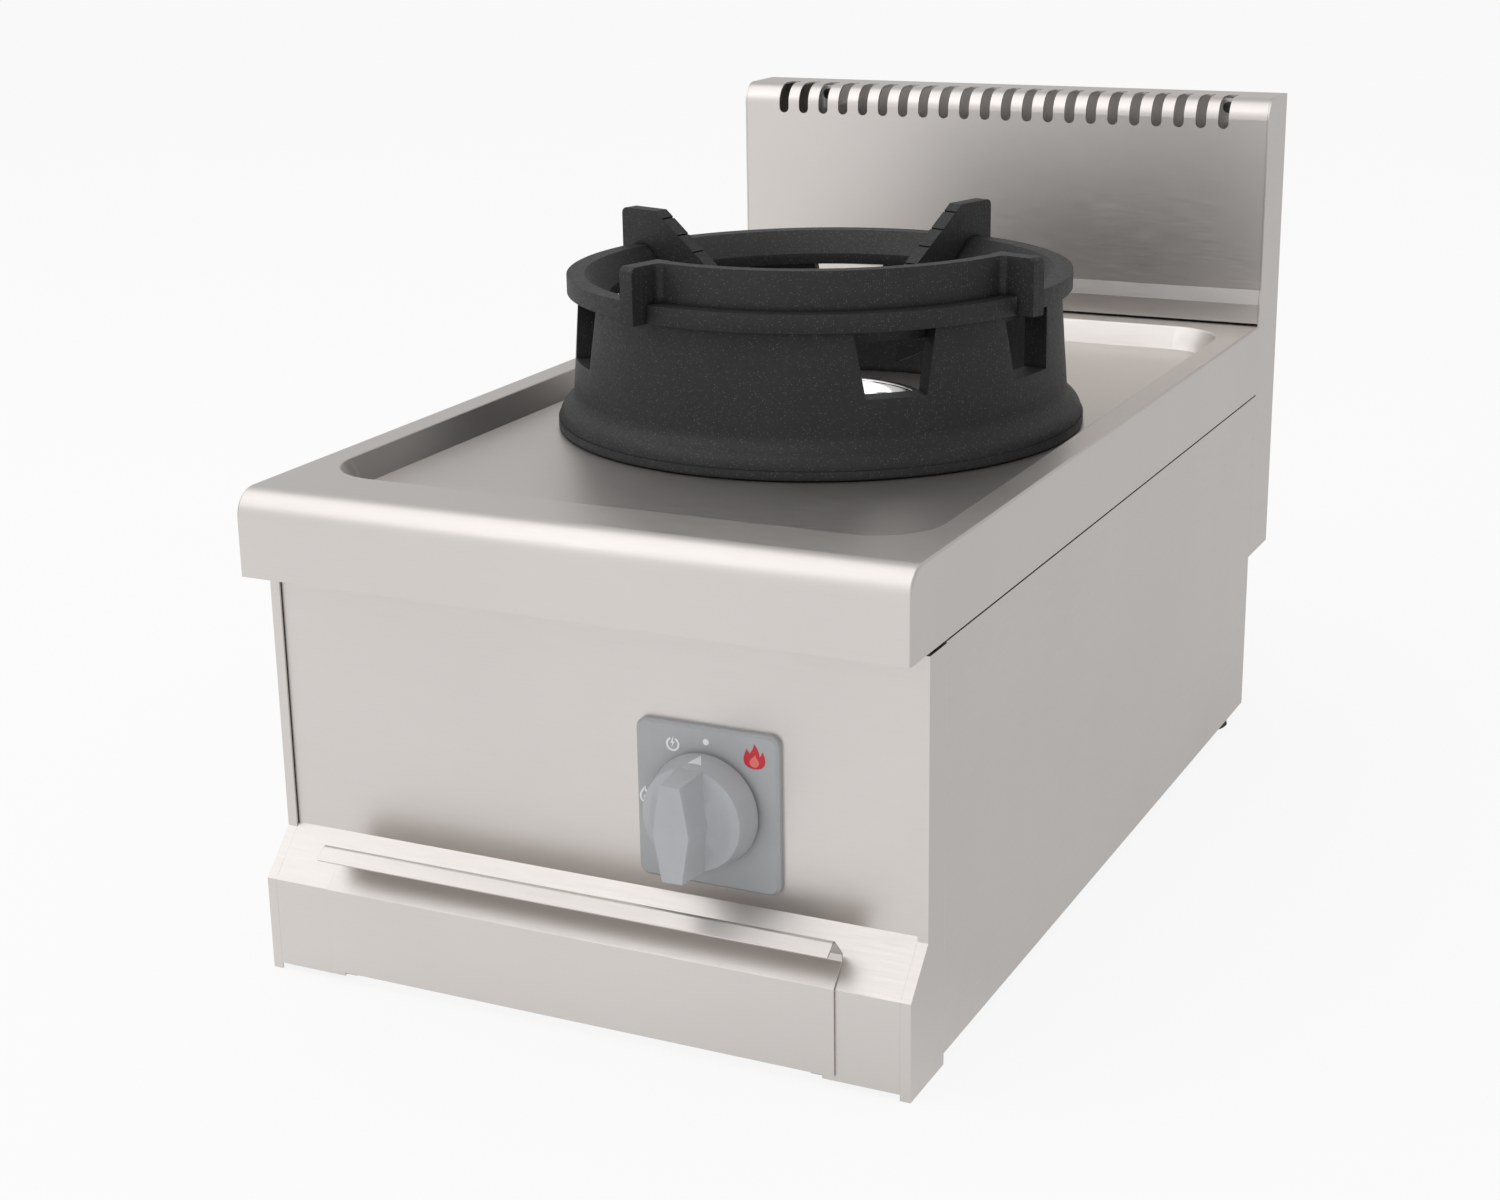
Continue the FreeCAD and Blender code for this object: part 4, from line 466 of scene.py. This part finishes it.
def strip(bm, loops, closed=True):
    """Faces between neighbouring loops of equally many vertices."""
    for first, second in zip(loops, loops[1:]):
        count = len(first)
        for i in range(count if closed else count - 1):
            j = (i + 1) % count
            bm.faces.new((first[i], first[j], second[j], second[i]))


def full_turn(steps):
    """Angles evenly round a circle."""
    return [2 * math.pi * i / steps for i in range(steps)]


def bezier(start, first, second, end, steps):
    """Points along a cubic curve, without its end."""
    points = []
    for i in range(steps):
        t = i / steps
        a, b, c, d = (1 - t) ** 3, 3 * t * (1 - t) ** 2, 3 * t * t * (1 - t), t ** 3
        points.append(tuple(a * start[k] + b * first[k] + c * second[k] + d * end[k] for k in (0, 1)))
    return points


def circle(radius, start=0.0, end=360.0, steps=36):
    """Points on a circle from one angle to another, counted from the top; a full turn leaves out its end."""
    last = steps if end - start >= 360.0 else steps - 1
    angles = [math.radians(start + (end - start) * i / last) for i in range(steps)]
    return [(radius * math.sin(angle), radius * math.cos(angle)) for angle in angles]


# ---- printed marks ----

# Two flames of width and height 1 that stand on the origin, as cubic curves of four points each.
PLAIN_FLAME = (
    ((0.0, 0.0), (0.32, 0.0), (0.5, 0.18), (0.5, 0.38)),
    ((0.5, 0.38), (0.5, 0.62), (0.14, 0.7), (0.12, 1.0)),
    ((0.12, 1.0), (-0.1, 0.78), (-0.5, 0.62), (-0.5, 0.34)),
    ((-0.5, 0.34), (-0.5, 0.15), (-0.3, 0.0), (0.0, 0.0)),
)
TONGUED_FLAME = (
    ((0.0, 0.0), (0.34, 0.0), (0.5, 0.14), (0.5, 0.36)),
    ((0.5, 0.36), (0.5, 0.5), (0.44, 0.6), (0.38, 0.72)),
    ((0.38, 0.72), (0.34, 0.62), (0.3, 0.56), (0.24, 0.5)),
    ((0.24, 0.5), (0.24, 0.72), (0.1, 0.88), (-0.02, 1.0)),
    ((-0.02, 1.0), (0.0, 0.84), (-0.12, 0.7), (-0.22, 0.58)),
    ((-0.22, 0.58), (-0.26, 0.66), (-0.3, 0.7), (-0.36, 0.76)),
    ((-0.36, 0.76), (-0.4, 0.62), (-0.5, 0.5), (-0.5, 0.34)),
    ((-0.5, 0.34), (-0.5, 0.13), (-0.32, 0.0), (0.0, 0.0)),
)
BOLT = ((0.5, 4.6), (-1.35, 0.5), (-0.15, 0.75), (-0.75, -2.1), (1.25, 1.6), (0.1, 1.35))   # spark, in mm

# Places of the marks: degrees to the left of the top of the knob, and distance from its centre.
OFF_PLACE = (-0.2, 36.9 * MM)
IGNITION_PLACE = (30.6, 38.3 * MM)
LARGE_FLAME_PLACE = (87.0, 37.4 * MM)
SMALL_FLAME_PLACE = (135.0, 38.0 * MM)
CORNER_PLACE = (KNOB_X + 28.3 * MM, KNOB_Z + 26.0 * MM)    # foot of the red flame

OFF_RADIUS = 1.75 * MM
IGNITION_RADIUS, IGNITION_LINE = 3.4 * MM, 1.05 * MM
IGNITION_GAP = 24.0                                        # degrees at each side of the top
LARGE_WIDTH, LARGE_HEIGHT, LARGE_LINE = 4.4 * MM, 8.6 * MM, 1.0 * MM
SMALL_WIDTH, SMALL_HEIGHT, SMALL_LINE = 3.0 * MM, 5.0 * MM, 0.7 * MM
WICK = [(0.0, 0.6 * MM), (0.0, 3.6 * MM)]                  # line inside the large flame
WICK_LINE = 0.7 * MM
RED_WIDTH, RED_HEIGHT = 12.6 * MM, 14.2 * MM
CORE_WIDTH, CORE_HEIGHT, CORE_RISE = 5.4 * MM, 7.0 * MM, 1.0 * MM

INK_BACK = PLATE_FACE_Y + 0.02 * MM
INK_FRONT = PLATE_FACE_Y - 0.1 * MM
CORE_FRONT = INK_FRONT - 0.06 * MM


def flame(curves, width, height, steps=10):
    """Outline of one of the flames, at its size."""
    return [(x * width, z * height) for curve in curves for x, z in bezier(*curve, steps)]


def filled(bm, outline, centre, front=INK_FRONT):
    """Thin raised print with the outline, on the plate's face."""
    layers = []
    for y in (front, INK_BACK):
        layers.append([bm.verts.new((centre[0] + x, y, centre[1] + z)) for x, z in outline])
    bm.faces.new(layers[0])
    bm.faces.new(layers[1][::-1])
    strip(bm, layers)


def drawn(bm, path, centre, width, closed):
    """Thin raised line of print along the path, on the plate's face."""
    count = len(path)
    outer, inner = [], []
    for i, (x, z) in enumerate(path):
        before = path[(i - 1) % count] if closed or i else path[i]
        after = path[(i + 1) % count] if closed or i < count - 1 else path[i]
        along = Vector((after[0] - before[0], after[1] - before[1])).normalized() * (width / 2)
        outer.append((centre[0] + x - along.y, centre[1] + z + along.x))
        inner.append((centre[0] + x + along.y, centre[1] + z - along.x))
    rails = []
    for side, y in ((outer, INK_BACK), (outer, INK_FRONT), (inner, INK_FRONT), (inner, INK_BACK)):
        rails.append([bm.verts.new((x, y, z)) for x, z in side])
    strip(bm, rails + rails[:1], closed)
    if not closed:
        bm.faces.new([rail[0] for rail in rails])
        bm.faces.new([rail[-1] for rail in rails][::-1])


def around_knob(degrees, radius):
    """Place on the plate's face at an angle to the left of the top of the knob."""
    turn = math.radians(degrees)
    return KNOB_X - radius * math.sin(turn), KNOB_Z + radius * math.cos(turn)


def flame_foot(place, height):
    """Foot of a flame of the given height whose middle is at a place round the knob."""
    x, z = around_knob(*place)
    return x, z - height / 2


def add_plate_marks(white, red, pale_red):
    """Marks round the knob: off, ignition, large flame, small flame, and a red flame in the corner."""
    marks = bmesh.new()
    filled(marks, circle(OFF_RADIUS), around_knob(*OFF_PLACE))
    ignition = around_knob(*IGNITION_PLACE)
    ring = circle(IGNITION_RADIUS, start=IGNITION_GAP, end=360.0 - IGNITION_GAP, steps=40)
    drawn(marks, ring, ignition, IGNITION_LINE, closed=False)
    filled(marks, [(x * MM, z * MM) for x, z in BOLT], ignition)
    large = flame_foot(LARGE_FLAME_PLACE, LARGE_HEIGHT)
    drawn(marks, flame(PLAIN_FLAME, LARGE_WIDTH, LARGE_HEIGHT), large, LARGE_LINE, closed=True)
    drawn(marks, WICK, large, WICK_LINE, closed=False)
    small = flame_foot(SMALL_FLAME_PLACE, SMALL_HEIGHT)
    drawn(marks, flame(PLAIN_FLAME, SMALL_WIDTH, SMALL_HEIGHT), small, SMALL_LINE, closed=True)
    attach(piece("plate_marks", marks, white), "carcass")

    body = bmesh.new()
    filled(body, flame(TONGUED_FLAME, RED_WIDTH, RED_HEIGHT, steps=6), CORNER_PLACE)
    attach(piece("red_flame", body, red), "carcass")

    core = bmesh.new()
    raised = (CORNER_PLACE[0], CORNER_PLACE[1] + CORE_RISE)
    filled(core, flame(PLAIN_FLAME, CORE_WIDTH, CORE_HEIGHT), raised, CORE_FRONT)
    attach(piece("red_flame_core", core, pale_red), "carcass")


POINTER_BASE = 10.0 * MM          # from the back of the knob's skirt
POINTER_TIP = 2.3 * MM
POINTER_HALF_WIDTH = 4.3 * MM
POINTER_TIP_SHARE = 0.03          # width left at the tip, so that the faces there aren't empty
POINTER_ROWS, POINTER_COLUMNS = 8, 10
SKIRT_TAPER = 3.2 / 15.5          # how much the skirt's radius shrinks along its length, towards the front
INK_ABOVE, INK_BELOW = 0.1 * MM, -0.03 * MM   # from the skirt's surface


def add_pointer(ink):
    """Printed triangle on top of the knob's skirt, its tip towards the plate."""
    base_radius = (KNOB_HIGH.x - KNOB_LOW.x) / 2
    back = KNOB_HIGH.y
    bm = bmesh.new()
    layers = []
    for lift in (INK_ABOVE, INK_BELOW):
        grid = []
        for j in range(POINTER_ROWS + 1):
            along = j / POINTER_ROWS
            y = back - POINTER_BASE + (POINTER_BASE - POINTER_TIP) * along
            radius = base_radius - (back - y) * SKIRT_TAPER + lift
            reach = POINTER_HALF_WIDTH * max(1.0 - along, POINTER_TIP_SHARE) / base_radius
            turns = [reach * (2 * i / POINTER_COLUMNS - 1) for i in range(POINTER_COLUMNS + 1)]
            places = [(KNOB_X + radius * math.sin(t), y, KNOB_Z + radius * math.cos(t)) for t in turns]
            grid.append([bm.verts.new(place) for place in places])
        strip(bm, grid, closed=False)
        layers.append(grid)
    rims = []
    for grid in layers:
        right_side = [row[-1] for row in grid[1:]]
        left_side = [row[0] for row in grid[-2:0:-1]]
        rims.append(grid[0] + right_side + grid[-1][-2::-1] + left_side)
    strip(bm, rims)
    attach(piece("knob_pointer", bm, ink, smooth=30.0), "knob")


# ---- gas inlet ----

THREAD_MAJOR, THREAD_MINOR, INLET_BORE = 10.48 * MM, 9.32 * MM, 7.0 * MM   # radii
THREAD_PITCH = 1.814 * MM
CREST_START, CREST_END = 0.42, 0.58       # share of the pitch where the crest of the thread is
INLET_SEGMENTS = 40
NUT_LENGTH = 9.0 * MM
NUT_CHAMFER = 0.9 * MM
NUT_FACE_SHARE = 0.93                     # radius of a nut's end faces, as a share of its corner radius
NUT_SIDES, NUT_STEPS = 6, 10              # steps for each side


def along_y(bm, centre, y, radius, angle):
    """A vertex on a circle round an axis along Y."""
    return bm.verts.new((centre[0] + radius * math.cos(angle), y, centre[1] + radius * math.sin(angle)))


def hexagon(bm, centre, start, end, corner, bore):
    """Chamfered hexagon nut along Y, open in the middle."""
    face = corner * NUT_FACE_SHARE
    side = 2 * math.pi / NUT_SIDES
    angles = full_turn(NUT_SIDES * NUT_STEPS)
    rings = []
    for y, limit in ((start, face), (start + NUT_CHAMFER, corner), (end - NUT_CHAMFER, corner), (end, face)):
        ring = []
        for angle in angles:
            flat = corner * math.cos(side / 2) / math.cos(angle % side - side / 2)
            ring.append(along_y(bm, centre, y, min(flat, limit), angle))
        rings.append(ring)
    for y in (end, start):
        rings.append([along_y(bm, centre, y, bore, angle) for angle in angles])
    strip(bm, rings + rings[:1])


def add_gas_inlet(metal):
    """Gas inlet with a cut pipe thread and a hexagon nut at each side of the rear sheet."""
    low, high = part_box("gas_inlet")
    centre = ((low.x + high.x) / 2, (low.z + high.z) / 2)
    corner = (high.x - low.x) / 2
    sheet_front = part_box("rear_panel")[0].y
    sheet_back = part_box("rear_panel")[1].y
    bm = bmesh.new()
    hexagon(bm, centre, low.y, sheet_front, corner, THREAD_MINOR)
    hexagon(bm, centre, sheet_back, sheet_back + NUT_LENGTH, corner, THREAD_MINOR)

    def on_thread(radius, step, share):
        y = low.y + THREAD_PITCH * (step / INLET_SEGMENTS - 1 + share)
        return along_y(bm, centre, min(max(y, low.y), high.y), radius, 2 * math.pi * step / INLET_SEGMENTS)

    turns = int((high.y - low.y) / THREAD_PITCH) + 2
    count = turns * INLET_SEGMENTS
    roots = [on_thread(THREAD_MINOR, step, 0.0) for step in range(count + INLET_SEGMENTS)]
    crests = [on_thread(THREAD_MAJOR, step, CREST_START) for step in range(count)]
    flats = [on_thread(THREAD_MAJOR, step, CREST_END) for step in range(count)]
    strip(bm, [roots[:count], crests, flats, roots[INLET_SEGMENTS:]], closed=False)

    walls = [(low.y, THREAD_MINOR), (low.y, INLET_BORE), (high.y, INLET_BORE), (high.y, THREAD_MINOR)]
    angles = full_turn(INLET_SEGMENTS)
    strip(bm, [[along_y(bm, centre, y, radius, angle) for angle in angles] for y, radius in walls])
    made = piece("gas_inlet_threaded", bm, metal, smooth=25.0)
    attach(made, "carcass")
    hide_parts("gas_inlet")


# ---- burner bowl ----

BEAD_RADIUS = 1.5 * MM
BEAD_ANGLES = (1.57, 1.2, 0.8, 0.4, 0.0)   # radians from the top of the bead, outwards
# The wall from the bead down: how far in from the rim, and how far below it, in mm.
BOWL_WALL = (
    (4.6, 0.0), (5.2, 0.15), (5.7, 0.6), (5.9, 1.3), (6.4, 1.6), (7.4, 2.2),
    (9.2, 3.9), (10.8, 5.9), (12.1, 8.4), (12.9, 11.5), (13.4, 16.0), (13.7, 22.0),
)
WALL_FOOT = 14.1 * MM                      # how far in from the rim the wall meets the floor
FOOT_RISE = 1.2 * MM
BOWL_SHEET = 0.8 * MM
HUB_RADIUS = 52.0 * MM
HUB_HEIGHT = 10.0 * MM
UNDERSIDE_FOOT = 10.0 * MM                 # how far in from the rim the outer wall starts
UNDERSIDE_TOP = 6.0 * MM                   # and where it meets the rim
RIM_HEIGHT = 3.0 * MM
BOWL_STEPS = 96


def bowl_section(rim, depth):
    """Half of the bowl's section, from the bead inwards and back below: radii, and heights from the top."""
    section = [
        (rim - BEAD_RADIUS + BEAD_RADIUS * math.sin(angle), BEAD_RADIUS * (math.cos(angle) - 1.0))
        for angle in BEAD_ANGLES
    ]
    section += [(rim - inset * MM, -drop * MM) for inset, drop in BOWL_WALL]
    section.append((rim - WALL_FOOT, BOWL_SHEET + FOOT_RISE - depth))
    section += [
        (HUB_RADIUS + BOWL_SHEET, BOWL_SHEET - depth),
        (HUB_RADIUS + BOWL_SHEET, HUB_HEIGHT - depth),
        (HUB_RADIUS, HUB_HEIGHT - depth),
        (HUB_RADIUS, -depth),
    ]
    section += [(rim - UNDERSIDE_FOOT, -depth), (rim - UNDERSIDE_TOP, -RIM_HEIGHT), (rim, -RIM_HEIGHT)]
    return section


def add_spun_bowl(metal):
    """Bowl round the burner: a rolled bead at the rim and a wall that steepens towards the hub."""
    low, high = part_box("burner_bowl")
    x, y = (low.x + high.x) / 2, (low.y + high.y) / 2
    bm = bmesh.new()
    rings = []
    for radius, height in bowl_section((high.x - low.x) / 2, high.z - low.z):
        z = high.z + height
        turns = full_turn(BOWL_STEPS)
        rings.append([bm.verts.new((x + radius * math.cos(t), y + radius * math.sin(t), z)) for t in turns])
    strip(bm, rings + rings[:1])
    made = piece("burner_bowl_spun", bm, metal, smooth=30.0)
    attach(made, "carcass")
    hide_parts("burner_bowl")


# ---- floor, world and lamp ----

BACKGROUND = 0.955                # what the camera sees behind the object
DAYLIGHT = 0.75                   # even light from all sides
WALL_IN_FRONT = 1.02              # the surroundings in a reflection, in front of the object
WALL_BEHIND = 0.6                 # and behind, beside and above it
WALL_FADE = (-0.75, -0.4)         # Y of a direction, between which one turns into the other

FLOOR_IN_FRONT = 1.04             # painted reflection: the floor's glow as metal mirrors it, in front of the object, standing in for the lit floor there
FLOOR_BEHIND = 0.7                # and beside and behind it, darker, standing in for the object's shadow there
FLOOR_FADE = (-0.4, -0.05)        # metres along the fade, between which one turns into the other
FADE_ALONG = (0.42, 0.86, 0.0)    # direction of the fade, from what the front panels mirror to the object
FLOOR_REFLECTED = 0.8             # share of that glow in what metal mirrors; the rest is the lit floor
PAPER = 0.975                     # the floor as the camera sees it
PAPER_SHARE = 0.9                 # share of that; the rest is the lit floor, which keeps the shadow
FLOOR_HALF = 20.0
FLOOR_LEVEL = -0.2 * MM

SOFTBOX_PLACE = (-1.1, -0.7, 2.4)
SOFTBOX_TARGET = (0.0, 0.0, 0.2)
SOFTBOX_SIDE = 3.2
SOFTBOX_POWER = 31.0


def make_floor():
    """Pale floor: plain background to the camera, with the object's shadow, and in metal a painted
    reflection, a glow that fades from bright in front to darker behind.
    """
    mesh = bpy.data.meshes.new("floor")
    sides = ((-1, -1), (1, -1), (1, 1), (-1, 1))
    corners = [(x * FLOOR_HALF, y * FLOOR_HALF, FLOOR_LEVEL) for x, y in sides]
    mesh.from_pydata(corners, [], [(0, 1, 2, 3)])
    floor = add_object("floor", mesh)
    shader = Shader("floor")
    shader.set(
        Base_Color=shader.ramp(shader.noise(3.0), (0.3, (0.88, 0.88, 0.88)), (0.7, (0.9, 0.9, 0.9))),
        Roughness=0.9,
        Specular_IOR_Level=0.1,
    )
    # Painted reflection: a glow that only metal sees, bright in front of the object and darker beside and
    # behind it, in place of the lit floor and its shaded part.
    depth = shader.node("ShaderNodeVectorMath", operation="DOT_PRODUCT")
    depth.inputs[1].default_value = FADE_ALONG
    shader.link(shader.place, depth.inputs[0])
    fading = shader.spread(depth.outputs["Value"], to=(FLOOR_IN_FRONT, FLOOR_BEHIND), within=FLOOR_FADE)
    path = shader.node("ShaderNodeLightPath").outputs
    in_view = maths(shader.tree, "MULTIPLY", path["Is Camera Ray"], PAPER_SHARE)
    seen = shader.layered(in_view, shader.surface.outputs["BSDF"], shader.glow(PAPER))
    in_metal = maths(shader.tree, "MULTIPLY", path["Is Glossy Ray"], FLOOR_REFLECTED)
    both = shader.layered(in_metal, seen, shader.glow(fading))
    shader.link(both, shader.tree.nodes["Material Output"].inputs["Surface"])
    mesh.materials.append(shader.material)


def make_world():
    """Plain surroundings: white to the camera, walls of two levels in metal, even daylight for the rest."""
    world = bpy.data.worlds.new("studio")
    world.use_nodes = True
    tree = world.node_tree
    path = tree.nodes.new("ShaderNodeLightPath").outputs
    parts = tree.nodes.new("ShaderNodeSeparateXYZ")
    tree.links.new(tree.nodes.new("ShaderNodeTexCoord").outputs["Generated"], parts.inputs["Vector"])
    walls = (WALL_IN_FRONT - DAYLIGHT, WALL_BEHIND - DAYLIGHT)
    wall = spread(tree, parts.outputs["Y"], to=walls, within=WALL_FADE)
    in_metal = maths(tree, "MAXIMUM", path["Is Glossy Ray"], path["Is Transmission Ray"])
    level = maths(tree, "MULTIPLY_ADD", in_metal, wall, DAYLIGHT)
    level = maths(tree, "MULTIPLY_ADD", path["Is Camera Ray"], BACKGROUND - DAYLIGHT, level)
    background = tree.nodes["Background"]
    background.inputs["Color"].default_value = WHITE
    tree.links.new(level, background.inputs["Strength"])
    bpy.context.scene.world = world


def make_softbox():
    """One large soft lamp above the left front, aimed at the object."""
    data = bpy.data.lights.new("overhead", "AREA")
    data.shape = "RECTANGLE"
    data.size = SOFTBOX_SIDE
    data.size_y = SOFTBOX_SIDE
    data.energy = SOFTBOX_POWER
    lamp = add_object("overhead", data)
    aim = (Vector(SOFTBOX_TARGET) - Vector(SOFTBOX_PLACE)).to_track_quat("-Z", "Y")
    lamp.matrix_world = Matrix.Translation(SOFTBOX_PLACE) @ aim.to_matrix().to_4x4()


# ---- build ----

make_camera()
make_floor()
make_world()
make_softbox()
MATERIALS = make_materials()
dress_nodes(MATERIALS)
soften_edges()
add_plate_marks(
    white=printed_ink("white_ink", (0.93, 0.93, 0.93)),
    red=printed_ink("red_ink", (0.62, 0.03, 0.045)),
    pale_red=printed_ink("pale_red_ink", (0.85, 0.2, 0.18)),
)
add_pointer(printed_ink("pointer_ink", (0.8, 0.805, 0.81)))
add_gas_inlet(MATERIALS["brass"])
add_spun_bowl(MATERIALS["stainless_bowl"])

bpy.context.scene.view_settings.view_transform = "Standard"
bpy.context.view_layer.update()
